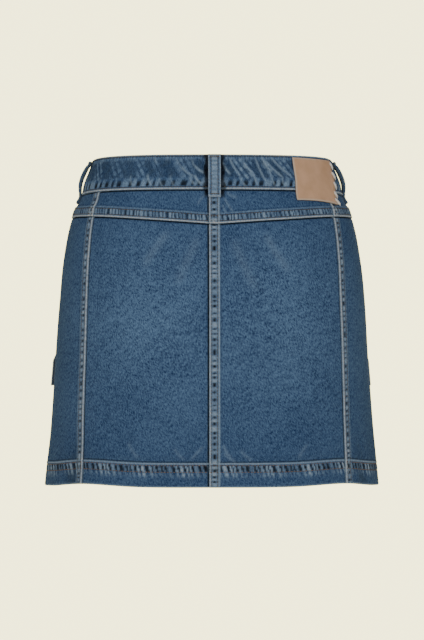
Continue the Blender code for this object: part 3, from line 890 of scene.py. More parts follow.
def denim_finish():
    """Washed indigo twill: uneven yarns, slow fading, pale worn ridges, and dark dye and painted shade from
    the wash.
    """
    n = Nodes("washed_denim")
    wear, dark, inside = n.wash_channels()
    flat = n.cloth_place()
    grain = n.noise(n.cloth_place(lean=-38.0, length=2.2), 1.35 * MM, detail=3.0, roughness=0.7)
    fine = n.noise(n.cloth_place(length=3.5), 1.1 * MM, detail=1.0)
    patchy = n.noise(flat, 8.0 * MM, detail=3.0, roughness=0.6)
    slow = n.noise(flat, 75.0 * MM, detail=2.0)
    twill = n.add("ShaderNodeTexWave", {
        "Vector": n.cloth_place(lean=-35.0), "Scale": 1.0 / (3.4 * MM), "Distortion": 1.2,
        "Detail": 1.0, "Detail Scale": 2.0}, wave_type="BANDS").outputs["Fac"]

    tone = n.math("MULTIPLY_ADD", grain, 1.0, n.math("MULTIPLY", fine, 0.45))
    for part, share in ((patchy, 0.35), (slow, 0.20), (twill, 0.08)):
        tone = n.math("ADD", tone, n.math("MULTIPLY", part, share))
    tone = n.range(tone, 0.84, 1.24)
    base = n.mix(tone, colour_of(10, 44, 90), colour_of(116, 151, 189))

    uneven = n.range(grain, 0.32, 0.68, 0.62, 1.12)
    wear_uneven = n.math("MINIMUM", n.math("MULTIPLY", wear, uneven), 1.0)
    dark_uneven = n.math("MULTIPLY", dark, n.range(patchy, 0.25, 0.65, 0.80, 1.10))
    dark_uneven = n.math("MINIMUM", dark_uneven, 1.0)
    faded = n.mix(
        n.range(wear_uneven, 0.50, 0.90), colour_of(180, 206, 228), colour_of(234, 229, 218))
    # The dark channel, unfaded dye and painted shade alike, runs to deep navy and near black.
    navy = n.mix(n.range(dark_uneven, 0.40, 0.75), colour_of(14, 52, 98), colour_of(3, 10, 26))
    coloured = n.mix(dark_uneven, base, navy)
    coloured = n.mix(wear_uneven, coloured, faded)
    weft = n.mix(n.range(grain, 0.3, 0.7), colour_of(112, 128, 142), colour_of(168, 178, 186))
    coloured = n.mix(inside, coloured, weft)
    n.feed(n.shader, "Specular IOR Level", 0.12)
    surface = n.math("MULTIPLY_ADD", twill, 0.35, n.math("MULTIPLY", grain, 0.65))
    return n.finish(coloured, n.range(grain, 0.3, 0.7, 0.80, 0.95), surface, 0.55, 0.5 * MM)


def thread_finish(name, dark_colour, pale_colour):
    """Spun thread: two tones with its ply as fine bump."""
    n = Nodes(name)
    where = n.object_place()
    fade = n.noise(where, 14.0 * MM, detail=2.0)
    ply = n.noise(where, 0.5 * MM, detail=1.0)
    tone = n.range(n.math("MULTIPLY_ADD", ply, 0.5, fade), 0.45, 1.0)
    colour = n.mix(tone, dark_colour, pale_colour)
    return n.finish(colour, n.range(ply, 0.3, 0.7, 0.65, 0.85), ply, 0.4, 0.1 * MM)


def leather_finish():
    """Matt tan leather: even, with fine pores, and paler where its edge is cut."""
    n = Nodes("tan_leather")
    edge, press, back = n.wash_channels()
    flat = n.cloth_place()
    cloudy = n.noise(flat, 22.0 * MM, detail=3.0)
    pores = n.noise(flat, 0.8 * MM, detail=2.0, roughness=0.7)
    tone = n.range(n.math("MULTIPLY_ADD", pores, 0.45, cloudy), 0.45, 1.0)
    skin = n.mix(tone, colour_of(208, 161, 125), colour_of(234, 188, 152))
    for share, colour in ((press, (140, 108, 84)), (edge, (228, 214, 196)), (back, (150, 124, 100))):
        skin = n.mix(share, skin, colour_of(*colour))
    return n.finish(skin, n.range(pores, 0.3, 0.7, 0.55, 0.75), pores, 0.35, 0.15 * MM)


def metal_finish():
    """Antiqued copper-brass, rubbed brighter in places."""
    n = Nodes("antique_brass")
    where = n.object_place()
    rubbed = n.noise(where, 4.0 * MM, detail=3.0)
    fine = n.noise(where, 0.4 * MM, detail=2.0)
    colour = n.mix(n.range(rubbed, 0.35, 0.65), colour_of(104, 78, 54), colour_of(186, 150, 112))
    n.feed(n.shader, "Metallic", 1.0)
    return n.finish(colour, n.range(fine, 0.3, 0.7, 0.30, 0.50), fine, 0.15, 0.05 * MM)


def tape_finish():
    """Woven zip tape."""
    n = Nodes("zip_tape_weave")
    weave = n.add("ShaderNodeTexWave", {
        "Vector": n.object_place(), "Scale": 1.0 / (5.0 * MM), "Distortion": 0.5},
        bands_direction="DIAGONAL").outputs["Fac"]
    colour = n.mix(weave, colour_of(22, 30, 46), colour_of(44, 54, 74))
    return n.finish(colour, n.range(weave, 0.0, 1.0, 0.75, 0.92), weave, 0.5, 0.2 * MM)


denim = denim_finish()
topstitch = thread_finish("topstitch_thread", colour_of(52, 44, 40), colour_of(116, 100, 86))
hem_thread = thread_finish("hem_thread", colour_of(96, 74, 56), colour_of(150, 116, 84))
cream_thread = thread_finish("cream_thread", colour_of(240, 234, 224), colour_of(255, 252, 246))
leather = leather_finish()
brass = metal_finish()
tape = tape_finish()

# ---------------------------------------------------------------- cloth pieces
COARSE = 1.6 * MM
BAND_CELL = 1.15 * MM
BAND_LENGTH = 0.830
FINE = 1.0 * MM
FRONT_EDGE_GAP = 0.15 * MM        # how far short of centre front the upper front edge stops
PANEL_ROWS = (FINE, 1.8 * MM, 6.0 * MM, 36.0 * MM)
YOKE_GRID_ROWS = (0.040, 0.9 * MM, 1.1 * MM, 4.0 * MM, 14.0 * MM)
PANEL_CELLS = (FINE, COARSE)
# One half's pieces: name, what graded() needs for its columns and for its rows, and its net
# cut as width, length and area.
HALF_PIECES = (
    ("back_panel", (0.150, *PANEL_CELLS, 18.0 * MM, 8.0 * MM), (0.303, *PANEL_ROWS), (0.168, 0.306, 0.0495)),
    ("front_panel", (0.345, *PANEL_CELLS, 12.0 * MM, 14.0 * MM), (0.305, *PANEL_ROWS), (0.366, 0.318, 0.107)),
    ("back_yoke", (0.145, FINE, 1.4 * MM, 18.0 * MM, 8.0 * MM), YOKE_GRID_ROWS, (0.156, 0.043, 0.0058)),
    ("front_yoke", (0.290, FINE, 1.5 * MM, 12.0 * MM, 14.0 * MM), YOKE_GRID_ROWS, (0.308, 0.037, 0.0098)),
)
# What each finished piece was made from, for its stitches: its relief and its face's distance
# from the form, both functions of place and level, and its half's sign.
SURFACES = {}


def on_the_form(place, below):
    return 0.0


def half_relief(part, sign):
    """Return the relief of one half's panel or yoke as a function of place and level."""
    def relief(place, below):
        if part.startswith("back"):
            upright = [
                centre_back_edge(place, below, sign),
                tucked_edge(-away_from_side_seam(place, below), TUCK_UNDER),
            ]
        else:
            upright = [side_seam_edge(place, below, sign), centre_front_edge(place, below, sign)]
        if part.endswith("panel"):
            level = [
                tucked_edge(below - yoke_seam_level(place), TUCK_UNDER_YOKE),
                hem_edge(hem_level(place) - below, hem_arc(sign * place), 0.4 + sign),
            ]
        else:
            level = [
                tucked_edge(below - band_seam_level(place), TUCK_UNDER_BAND),
                yoke_bottom_edge(place, below, sign),
            ]
        return combine(
            upright + level + [soft_waves(place, below, sign), cloth_creases(place, below, sign)])

    return relief


def make_half_piece(part, side, sign, columns, rows):
    """A panel or yoke: its edges run on under the pieces that are sewn over them."""
    under = sign > 0      # the left half lies under the right one at both centre seams
    if part.startswith("back"):
        first_edge = edge_beside(steady(0.0), sign * CENTRE_LAP - (TUCK_LENGTH if under else 0.0))
        last_edge = edge_beside(seam_angle_at, TUCK_LENGTH)
    else:
        first_edge = seam_angle_at
        last_edge = edge_beside(steady(180.0), TUCK_LENGTH if under else -FRONT_EDGE_GAP)
    panel = part.endswith("panel")
    top = yoke_seam_level if panel else band_seam_level
    bottom = hem_level if panel else yoke_seam_level
    place, below = place_grid(
        first_edge, last_edge, level_beside(top, -TUCK_LENGTH), bottom, graded(*columns), graded(*rows))
    thick = CLOTH
    if panel:
        up = hem_level(place) - below
        thick = CLOTH + HEM_EXTRA * smooth_step((HEM_DEPTH + 1.0 * MM - up) / (1.5 * MM))
    return finished_shell(f"{part}_{side}", place, below, sign, on_the_form, thick, half_relief(part, sign))


def band_out(angle, below):
    """The band stands a little proud; its left end steps in under its right at centre front."""
    tucked = smooth_step((angle - TUCK_START) / TUCK_SPAN)
    return BAND_PROUD - tucked * (BAND_THICK + LAY_GAP)


def make_waistband():
    columns = np.linspace(0.0, 1.0, round(BAND_LENGTH / BAND_CELL) + 1)
    rows = graded(BAND_HEIGHT, 0.8 * MM, 1.3 * MM, 5.0 * MM, 10.0 * MM)
    angle, below = place_grid(
        steady(-179.9), steady(180.0 + UNDERLAP_ANGLE), waist_level, band_seam_level, columns, rows)
    return finished_shell("waistband", angle, below, 1.0, band_out, BAND_THICK, band_relief)


for side, sign in (("left", 1.0), ("right", -1.0)):
    for part, columns, rows, (width, length, area) in HALF_PIECES:
        make_half_piece(part, side, sign, columns, rows)
make_waistband()


# ---------------------------------------------------------------- making loops, patch and pockets
LOOP_GRID = (24, 70)
PATCH_GRID = (64, 48)
PATCH_SIZE = (0.070, 0.0505)
FLAP_FOLD = 0.72                  # how high its top fold stands, as a share of its face over the bag
FLAP_ROWS = (0.0, 0.14, 0.30, 1.0)


def loop_top(centre):
    return float(waist_level(centre)) + LOOP_TOP


def make_belt_loop(name, centre, bulge):
    """A strip folded in three, its two rows of stitches sunk, tacked down at both ends."""
    top = loop_top(centre)
    lie = BAND_PROUD + LAY_GAP + LOOP_THICK

    def rise(below):
        free = np.clip((below - top - LOOP_HEAD) / (LOOP_DROP - LOOP_HEAD - LOOP_FOOT), 0.0, 1.0)
        return np.sin(np.pi * free ** LOOP_SKEW) ** 0.7

    def lift(place, below):
        """Its face over the form; below the band's edge the foot sinks onto the yoke."""
        past_band = smooth_step((below - float(band_seam_level(centre)) + 2.0 * MM) / (4.0 * MM))
        return lie + bulge * rise(below) - (BAND_PROUD + 0.3 * MM) * past_band

    def from_side(angle, below):
        return LOOP_WIDTH / 2.0 - np.abs(angle - centre) * metres_per_degree(centre, below)

    def relief(angle, below):
        edge = from_side(angle, below)
        end = np.minimum(below - top, top + LOOP_DROP - below)
        crest = ripple(below, 5.4 * MM, centre)
        groove = bell(edge - LOOP_ROW, 0.7 * MM)
        inner = smooth_step((edge - LOOP_ROW) / (1.0 * MM))
        folded = bell(end - 1.6 * MM, 1.5 * MM)
        height = LOOP_PLUMP * (1.0 + rounded_over(edge, 1.3 * MM) + rounded_over(end, 1.2 * MM))
        height = height - 0.55 * MM * groove + 0.30 * MM * (crest - 0.5) * inner + 0.45 * MM * folded
        on_face = smooth_step((edge + 0.2 * MM) / (0.7 * MM))
        wear = strongest(
            0.85 * bell(edge - 0.5 * MM, 1.0 * MM), 0.80 * bell(end - 0.8 * MM, 1.0 * MM),
            0.50 * inner * (0.5 + 0.5 * crest) + 0.12)
        # The loop's very sides lose their wear and get painted shade.
        dark = strongest(
            0.80 * groove, 0.50 * inner * (1.0 - crest) ** 4, 0.55 * bell(end - 4.2 * MM, 1.0 * MM),
            0.7 * (1.0 - on_face))
        return raised(height, wear * on_face, dark)

    columns, rows = (np.linspace(0.0, 1.0, count) for count in LOOP_GRID)
    middle = steady(centre)
    angle, below = place_grid(
        edge_beside(middle, -LOOP_WIDTH / 2.0), edge_beside(middle, LOOP_WIDTH / 2.0),
        steady(top), steady(top + LOOP_DROP), columns, rows)
    thick = LOOP_THICK + 0.8 * LAY_GAP + LOOP_SLACK * rise(below)
    finished_shell(name, angle, below, 1.0, lift, thick, relief, turned=True)


def make_patch():
    """Plain leather patch with raw edges, pressed a little into the seams it covers."""
    across, down = np.meshgrid(*(np.linspace(0.0, 1.0, count) for count in PATCH_GRID))
    top, bottom = np.array(PATCH_TOP), np.array(PATCH_BOTTOM)
    upper = top[0] + across[..., None] * (top[1] - top[0])
    lower = bottom[0] + across[..., None] * (bottom[1] - bottom[0])
    angle, below = np.moveaxis(upper + down[..., None] * (lower - upper), -1, 0)
    below = below - PATCH_BOW * np.sin(math.pi * across) * down
    width, height_down = PATCH_SIZE
    edge = np.minimum(
        np.minimum(across, 1.0 - across) * width, np.minimum(down, 1.0 - down) * height_down)
    over_seam = bell(below - band_seam_level(angle), 3.5 * MM)
    curl = bell(edge, 2.0 * MM) * smooth_step(down * 2.0 - 0.6)
    height = 0.40 * MM * rounded_over(edge, 0.6 * MM) + 0.25 * MM * over_seam + 0.35 * MM * curl
    out = BAND_PROUD + LAY_GAP + PATCH_THICK
    outer = cloth_point(angle, below, out + height)
    inner = cloth_point(angle, below, np.full(height.shape, out - PATCH_THICK))
    pale = bell(edge - 0.3 * MM, 0.75 * MM) * (0.35 + 0.65 * np.maximum(down > 0.5, across < 0.5))
    press = 0.35 * bell(across - 0.96, 0.035)
    data = shell_mesh("leather_patch", outer, inner, (pale, press), angle, below, mirrored=True)
    piece = show("leather_patch_hide", data, leather, "leather", "leather_patch")


def bag_raise(angle, below):
    """How far a cargo pocket stands out: full in the middle, down to its sewn edges."""
    from_side = np.minimum(angle - POCKET_ANGLES[0], POCKET_ANGLES[1] - angle)
    from_side = from_side / (POCKET_CORNER * (POCKET_ANGLES[1] - POCKET_ANGLES[0]))
    depth = POCKET_LEVELS[1] - POCKET_LEVELS[0]
    from_floor = (POCKET_LEVELS[1] - below) / (POCKET_CORNER * depth)
    down = (below - POCKET_LEVELS[0]) / depth
    side_rise = np.sin(np.clip(from_side, 0.0, 1.0) * math.pi / 2.0)
    floor_rise = np.sin(np.clip(from_floor, 0.0, 1.0) * math.pi / 2.0)
    fullness = POCKET_MOUTH_RAISE + (POCKET_RAISE - POCKET_MOUTH_RAISE) * smooth_step(down / 0.4)
    return POCKET_FOOT + fullness * side_rise * floor_rise


def flap_raise(place, below):
    """How far a pocket's flap stands out, from its sewn top down over the bag."""
    lie = LAY_GAP + CLOTH
    over_mouth = POCKET_FOOT + POCKET_MOUTH_RAISE + FLAP_CLEAR + CLOTH
    over_bag = POCKET_FOOT + POCKET_RAISE + FLAP_CLEAR + CLOTH
    down = (below - FLAP_LEVELS[0]) / (FLAP_LEVELS[1] - FLAP_LEVELS[0])
    return np.interp(down, FLAP_ROWS, (lie, over_mouth * FLAP_FOLD, over_mouth, over_bag))


def pocket_relief(angles, levels, open_top, place, below):
    """Worn edges, sunk rows and small puckers of a pocket bag or flap; on a bag, the flap's painted shadow.
    """
    side = np.minimum(place - angles[0], angles[1] - place) * metres_per_degree(place, below)
    edge = np.minimum(side, levels[1] - below)
    crest = ripple(place * 2.2 * MM + below, 7.0 * MM, levels[0] * 100.0)
    groove = bell(edge - POCKET_ROW, 0.7 * MM)
    height = -0.30 * MM * groove + 0.30 * MM * (crest - 0.5) * bell(edge - POCKET_ROW, 3.0 * MM)
    wear = np.maximum(
        0.62 * bell(edge - 0.4 * MM, 1.1 * MM), 0.32 * crest * bell(edge - POCKET_ROW, 2.6 * MM))
    dark = strongest(
        0.6 * groove, 0.60 * (1.0 - crest) ** 2 * bell(edge - POCKET_ROW, 2.4 * MM), 0.5 * DEEP_DYE_AND_SIDE_SHADE)
    if open_top:
        wear = np.maximum(wear, 0.5 * bell(below - levels[0], 1.2 * MM))
        # Painted shadow of the flap over the bag's top, down to just past the flap's edge.
        dark = np.maximum(dark, 0.75 * fade_past(below - FLAP_LEVELS[1], 3.0 * MM))
    return raised(height, wear, dark)


def pocket_grid(angles, levels, columns, rows):
    return place_grid(
        steady(angles[0]), steady(angles[1]), steady(levels[0]), steady(levels[1]), columns, rows)


def make_pocket(side, sign):
    """Cargo pocket: a bellows bag, open at the top, under a plain flap."""
    def bag_relief(place, below):
        return pocket_relief(POCKET_ANGLES, POCKET_LEVELS, True, place, below)

    def flap_relief(place, below):
        return pocket_relief(FLAP_ANGLES, FLAP_LEVELS, False, place, below)

    columns = graded(0.128, 0.9 * MM, 2.0 * MM, 12.0 * MM, 12.0 * MM)
    rows = graded(0.109, 1.2 * MM, 2.0 * MM, 2.0 * MM, 10.0 * MM)
    place, below = pocket_grid(POCKET_ANGLES, POCKET_LEVELS, columns, rows)
    name = f"pocket_bag_{side}"
    height, _, wear, dark = bag_relief(place, below)
    angle = sign * place
    outer = cloth_point(angle, below, bag_raise(place, below) + height)
    flat = cloth_point(angle, below, bag_raise(place, below))
    inner = flat + grid_normals(flat) * -sign * CLOTH
    data = shell_mesh(name, outer, inner, (wear, dark), angle, below, mirrored=sign < 0)
    piece = show(f"{name}_cloth", data, denim, "denim", name)
    SURFACES[name] = (bag_relief, sign, bag_raise)

    rows = graded(0.0435, 0.9 * MM, 1.6 * MM, 6.0 * MM, 10.0 * MM)
    place, below = pocket_grid(FLAP_ANGLES, FLAP_LEVELS, columns, rows)
    piece = finished_shell(f"pocket_flap_{side}", place, below, sign, flap_raise, CLOTH, flap_relief)


for loop_name, loop_angle, loop_bulge in BELT_LOOPS:
    make_belt_loop(loop_name, loop_angle, loop_bulge)
make_patch()
for side, sign in (("left", 1.0), ("right", -1.0)):
    make_pocket(side, sign)

# ---------------------------------------------------------------- fly and fittings
ZIP_ANGLES = (176.5, 187.0)
ZIP_LENGTH = 95.0 * MM
ZIP_OUT = -4.8 * MM
ZIP_THICK = 1.0 * MM
TOOTH_PITCH = 1.25 * MM
TOOTH_SIZE = (2.6 * MM, 0.8 * MM, 1.0 * MM, 1.0)
SHIELD_ANGLES = (178.0, 193.0)
SHIELD_LENGTH = 108.0 * MM
SHIELD_OUT = -6.3 * MM
BUTTON_ANGLE = -175.0
BUTTON_RADIUS = 8.5 * MM


def local_frame(angle, below, out):
    """Frame on the cloth: X round the body, Y up, Z outward."""
    angle = np.array(float(angle))
    below = np.array(float(below))
    outward = Vector(face_normal(angle, below))
    sideways = Vector((0.0, 0.0, 1.0)).cross(outward).normalized()
    upward = outward.cross(sideways)
    place = Matrix((sideways, upward, outward)).transposed().to_4x4()
    place.translation = Vector(cloth_point(angle, below, np.array(out)))
    return place


def make_strip(name, angles, length, out, thick, finish, slot):
    """A flat strip of the fly, hanging from the waistband's seam."""
    top = level_beside(band_seam_level, SEAM_GAP)
    angle, below = place_grid(
        steady(angles[0]), steady(angles[1]), top, level_beside(top, length),
        np.linspace(0.0, 1.0, 18), np.linspace(0.0, 1.0, 60))
    outer = cloth_point(angle, below, out)
    inner = cloth_point(angle, below, out - thick)
    plain_wash = (np.zeros(angle.shape), np.zeros(angle.shape))
    data = shell_mesh(name, outer, inner, plain_wash, angle, below)
    piece = show(f"{name}_cloth", data, finish, slot, name)


def make_zip_teeth():
    """Two columns of small brass teeth, set in turn on the tape's middle."""
    mesh = bmesh.new()
    middle = 0.5 * (ZIP_ANGLES[0] + ZIP_ANGLES[1])
    for index in range(int((ZIP_LENGTH - 12.0 * MM) / TOOTH_PITCH)):
        side = 1.0 if index % 2 else -1.0
        below = float(band_seam_level(middle)) + SEAM_GAP + 10.0 * MM + index * TOOTH_PITCH
        place = local_frame(middle, below, ZIP_OUT + 0.1 * MM)
        tooth = bmesh.ops.create_cube(mesh, size=1.0)["verts"]
        beside = Matrix.Translation((side * 0.7 * MM, 0.0, 0.0))
        bmesh.ops.transform(mesh, matrix=place @ beside @ Matrix.Diagonal(TOOTH_SIZE), verts=tooth)
    bmesh.ops.bevel(mesh, geom=list(mesh.edges), offset=0.15 * MM, segments=1, affect="EDGES")
    show("zip_teeth", mesh_from("zip_teeth", mesh), brass, "metal")


def make_button():
    """Domed shank button with a rolled rim and a ring struck round its plain middle."""
    # radius as a share of the button's, mm out from the cloth
    profile = (
        (0.0, 0.0), (0.42, 0.0), (0.42, 1.4), (0.92, 1.4), (0.985, 1.65), (1.0, 2.15), (0.985, 2.7),
        (0.93, 3.15), (0.86, 3.3), (0.80, 3.1), (0.76, 2.75), (0.70, 2.7), (0.66, 2.9), (0.60, 2.75),
        (0.50, 2.85), (0.30, 3.1), (0.0, 3.2),
    )
    mesh = bmesh.new()
    points = [mesh.verts.new((share * BUTTON_RADIUS, 0.0, height * MM)) for share, height in profile]
    edges = [mesh.edges.new(pair) for pair in zip(points, points[1:])]
    bmesh.ops.spin(
        mesh, geom=points + edges, cent=(0.0, 0.0, 0.0), axis=(0.0, 0.0, 1.0),
        angle=2.0 * math.pi, steps=64, use_merge=True)
    bmesh.ops.remove_doubles(mesh, verts=mesh.verts, dist=0.01 * MM)
    bmesh.ops.recalc_face_normals(mesh, faces=mesh.faces)
    below = float(waist_level(BUTTON_ANGLE)) + BAND_HEIGHT / 2.0
    mesh.transform(local_frame(BUTTON_ANGLE, below, BAND_PROUD + LAY_GAP))
    data = mesh_from("waist_button", mesh)
    data.shade_smooth()
    data.set_sharp_from_angle(angle=math.radians(50.0))
    show("waist_button_turned", data, brass, "metal", "waist_button")


make_strip("zip_tape", ZIP_ANGLES, ZIP_LENGTH, ZIP_OUT, ZIP_THICK, tape, "zip_tape")
make_strip("fly_shield", SHIELD_ANGLES, SHIELD_LENGTH, SHIELD_OUT, CLOTH, denim, "denim")
make_zip_teeth()
make_button()
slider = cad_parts["zip_slider"]
slider.data.materials.clear()
slider.data.materials.append(brass)

# ---------------------------------------------------------------- stitching
STITCH = 2.9 * MM
STITCH_GAP = 0.7 * MM
THREAD_RADIUS = 0.36 * MM
RING_SIDES = 4
# share of the stitch's length, share of its radius, mm of its middle over the cloth
STITCH_RINGS = (
    (0.0, 0.45, -0.22), (0.16, 0.95, 0.10), (0.5, 1.0, 0.22), (0.84, 0.95, 0.10), (1.0, 0.45, -0.22))
FLY_ROW_GAP = 3.6 * MM
FLY_END = 9.5 * MM            # from centre front to where the fly's rows end
ROW_END = 179.6               # angle near centre front where a half's level rows end
BAND_ROW_ENDS = (-179.0, 165.0)
BAND_END_ROWS = (-178.6, -177.8)      # angles of the two rows down the band's upper front end
POCKET_MIDDLE = 130.0         # angle where a pocket's insets are turned into degrees
# For each thread, a list of rows: all points, one stitch's side faces, its two end faces, how
# many points it has, and how many stitches there are.
stitches = {}


def add_stitch_tubes(thread, starts, ends, outwards, radius, arch=1.0):
    """One short bowed tube for each pair of ends."""
    along = ends - starts
    sideways = unit(np.cross(outwards, along))
    turns = np.arange(RING_SIDES) * 2.0 * np.pi / RING_SIDES
    rings = []
    for share, girth, rise in STITCH_RINGS:
        middle = starts + along * share + outwards * (rise * MM * arch)
        rings.append(middle[:, None, :] + radius * girth * (
            np.cos(turns)[None, :, None] * sideways[:, None, :]
            + np.sin(turns)[None, :, None] * outwards[:, None, :]))
    points = np.stack(rings, axis=1)
    count = len(STITCH_RINGS) * RING_SIDES
    faces = []
    for ring in range(len(STITCH_RINGS) - 1):
        for corner in range(RING_SIDES):
            after = (corner + 1) % RING_SIDES
            low, high = ring * RING_SIDES, (ring + 1) * RING_SIDES
            faces.append((low + corner, low + after, high + after, high + corner))
    caps = [tuple(range(RING_SIDES))[::-1], tuple(range(count - RING_SIDES, count))]
    stitches.setdefault(thread, []).append((points.reshape(-1, 3), faces, caps, count, len(starts)))


def surface_places(name, place, below):
    """Points on a finished piece's outer face, and its outward normals."""
    relief, sign, out = SURFACES[name]
    height, push, _, _ = relief(place, below)
    outward = face_normal(sign * place, below)
    over = out(place, below) + height + push
    return face_point(sign * place, below) + outward * over[:, None], outward


def sew(name, place, below, thread="topstitch", stitch=STITCH, gap=STITCH_GAP):
    """A row of stitches along a line of places on a finished piece."""
    place, below = np.broadcast_arrays(np.asarray(place, float), np.asarray(below, float))
    points, outward = surface_places(name, place, below)
    arc = np.concatenate(([0.0], np.cumsum(np.linalg.norm(np.diff(points, axis=0), axis=1))))
    begins = np.arange(0.3 * MM, arc[-1] - stitch, stitch + gap)
    if not len(begins):
        return

    def at(distance, values):
        return np.stack([np.interp(distance, arc, values[:, axis]) for axis in range(3)], axis=-1)

    outwards = unit(at(begins + stitch / 2, outward))
    add_stitch_tubes(thread, at(begins, points), at(begins + stitch, points), outwards, THREAD_RADIUS)


def between(start, end, count=400):
    return np.linspace(start, end, count)


def sew_down(name, edge, away, top, bottom):
    """A row down a piece, at a distance round the body from an upright edge."""
    below = between(top, bottom)
    sew(name, edge_beside(edge, away)(below), below)


def sew_half(side, sign):
    """All rows on one half's yokes and panels but those of the centre seams."""
    start = sign * CENTRE_LAP / float(metres_per_degree(0.0, 0.1)) + 0.4
    for part, rows, level, seam_below, thread in (
            ("yoke", YOKE_ROWS, yoke_seam_level, 0.071, "topstitch"),
            ("panel", HEM_ROWS, hem_level, 0.379, "hem_thread")):
        seam = float(seam_angle_at(seam_below))
        for row in rows:
            back = between(start, seam - 0.3)
            front = between(seam + 0.6, ROW_END, 800)
            sew(f"back_{part}_{side}", back, level(back) - row, thread)
            sew(f"front_{part}_{side}", front, level(front) - row, thread)
    for part, top, bottom in (("front_yoke", 0.0425, 0.0690), ("front_panel", 0.0725, 0.3775)):
        for row in SIDE_ROWS:
            sew_down(f"{part}_{side}", seam_angle_at, row, top, bottom)


def sew_overlaps():
    """Centre back and centre front rows, which lie on the right half, and the fly's curve."""
    centre_front = steady(180.0)
    for part, top, bottom in (("back_yoke_right", 0.0425, 0.0785), ("back_panel_right", 0.0825, 0.3795)):
        for row in CENTRE_ROWS:
            sew_down(part, steady(0.0), row - CENTRE_LAP, top, bottom)
    for part, top, bottom in (("front_yoke_right", 0.0575, 0.0820), ("front_panel_right", 0.0850, 0.3820)):
        for row in FRONT_ROWS:
            sew_down(part, centre_front, -row, top, bottom)
    for shift in (0.0, FLY_ROW_GAP):
        reach = FLY_REACH - shift
        sew_down("front_yoke_right", centre_front, -reach, 0.0575, 0.0825)
        sew_down("front_panel_right", centre_front, -reach, 0.0850, FLY_TURN)
        turn = between(0.0, math.pi / 2.0)
        below = FLY_TURN + (FLY_BOTTOM - FLY_TURN - shift) * np.sin(turn)
        away = FLY_END + (reach - FLY_END) * np.cos(turn)
        sew("front_panel_right", edge_beside(centre_front, -away)(below), below)


def sew_band():
    """Rows along the band's top and lower edge, broken at loops and patch, and its front end."""
    round_body = between(*BAND_ROW_ENDS, 3000)
    clear = clear_of_what_lies_on_it(round_body) > 0.02
    breaks = np.flatnonzero(np.diff(clear.astype(int)) != 0) + 1
    for stretch in np.split(round_body, breaks):
        if clear[np.searchsorted(round_body, stretch[0])]:
            sew("waistband", stretch, waist_level(stretch) + BAND_TOP_ROW)
            sew("waistband", stretch, band_seam_level(stretch) - BAND_ROW)
    for at in BAND_END_ROWS:
        sew_down("waistband", steady(at), 0.0,
                 float(waist_level(at)) + 2.5 * MM, float(band_seam_level(at)) - 3.5 * MM)


def sew_loops():
    """Two rows down each belt loop and a close double bar tack at both its ends."""
    for name, centre, _ in BELT_LOOPS:
        top = loop_top(centre)
        for side in (-1.0, 1.0):
            sew_down(name, steady(centre), side * (LOOP_WIDTH / 2.0 - LOOP_ROW),
                     top + 1.5 * MM, top + LOOP_DROP - 1.5 * MM)
        for level in (top + 2.6 * MM, top + LOOP_DROP - 3.4 * MM):
            half = (LOOP_WIDTH / 2.0 - 1.2 * MM) / float(metres_per_degree(centre, level))
            for row in (-0.35 * MM, 0.35 * MM):
                across = between(centre - half, centre + half)
                sew(name, across, level + row, stitch=2.2 * MM, gap=0.1 * MM)


def sew_three_sides(name, angles, levels, row, level):
    """A row along the lower edge and up both sides; level is where its inset is measured."""
    inset = row / float(metres_per_degree(POCKET_MIDDLE, level))
    first, last = angles[0] + inset, angles[1] - inset
    sew(name, between(first, last), levels[1] - row)
    for at in (first, last):
        sew_down(name, steady(at), 0.0, levels[0] + 2.0 * MM, levels[1] - row)


def sew_pockets():
    """Two rows round each flap and one round each bag."""
    for side in ("left", "right"):
        for row in (POCKET_ROW, POCKET_ROW + 4.0 * MM):
            sew_three_sides(f"pocket_flap_{side}", FLAP_ANGLES, FLAP_LEVELS, row, 0.25)
        sew_three_sides(f"pocket_bag_{side}", POCKET_ANGLES, POCKET_LEVELS, POCKET_ROW, 0.3)


def sew_patch():
    """Five thick slanting stitches of two strands over the patch's outer edge."""
    top, bottom = np.array(PATCH_TOP[1]), np.array(PATCH_BOTTOM[1])
    share = np.array((0.05, 0.27, 0.49, 0.70, 0.87))[:, None]
    edge = top + share * (bottom - top)
    out = BAND_PROUD + LAY_GAP + PATCH_THICK + 0.2 * MM
    first = edge + np.array((1.6, 0.0))
    last = edge + np.array((-0.7, 7.6 * MM))
    starts = cloth_point(first[:, 0], first[:, 1], out)
    ends = cloth_point(last[:, 0], last[:, 1], out)
    outward = face_normal(edge[:, 0], edge[:, 1])
    for beside in (-0.45, 0.45):
        shift = np.array((0.0, 0.0, beside * MM * 1.6))
        add_stitch_tubes("cream", starts + shift, ends + shift, outward, 0.90 * MM, arch=2.0)


def show_threads():
    finishes = {"topstitch": topstitch, "hem_thread": hem_thread, "cream": cream_thread}
    for thread, rows in stitches.items():
        points, faces, total = [], [], 0
        for row_points, row_faces, caps, count, number in rows:
            points.append(row_points)
            for index in range(number):
                first = total + index * count
                faces.extend([tuple(first + corner for corner in face) for face in row_faces + caps])
            total += count * number
        data = bpy.data.meshes.new(f"stitches_{thread}")
        data.from_pydata(np.concatenate(points), [], faces)
        data.shade_smooth()
        show(f"stitches_{thread}", data, finishes[thread], "thread")


for side, sign in (("left", 1.0), ("right", -1.0)):
    sew_half(side, sign)
sew_overlaps()
sew_band()
sew_loops()
sew_pockets()
sew_patch()
show_threads()

# ---------------------------------------------------------------- stage, light and camera
VIEW_DISTANCE = 3.1
VIEW_AZIMUTH = 178.5
VIEW_MIDDLE = Vector((0.0, 0.0, -0.190))
FRAME_WIDTH = 0.5024      # width seen at the skirt's axis
SENSOR = 36.0


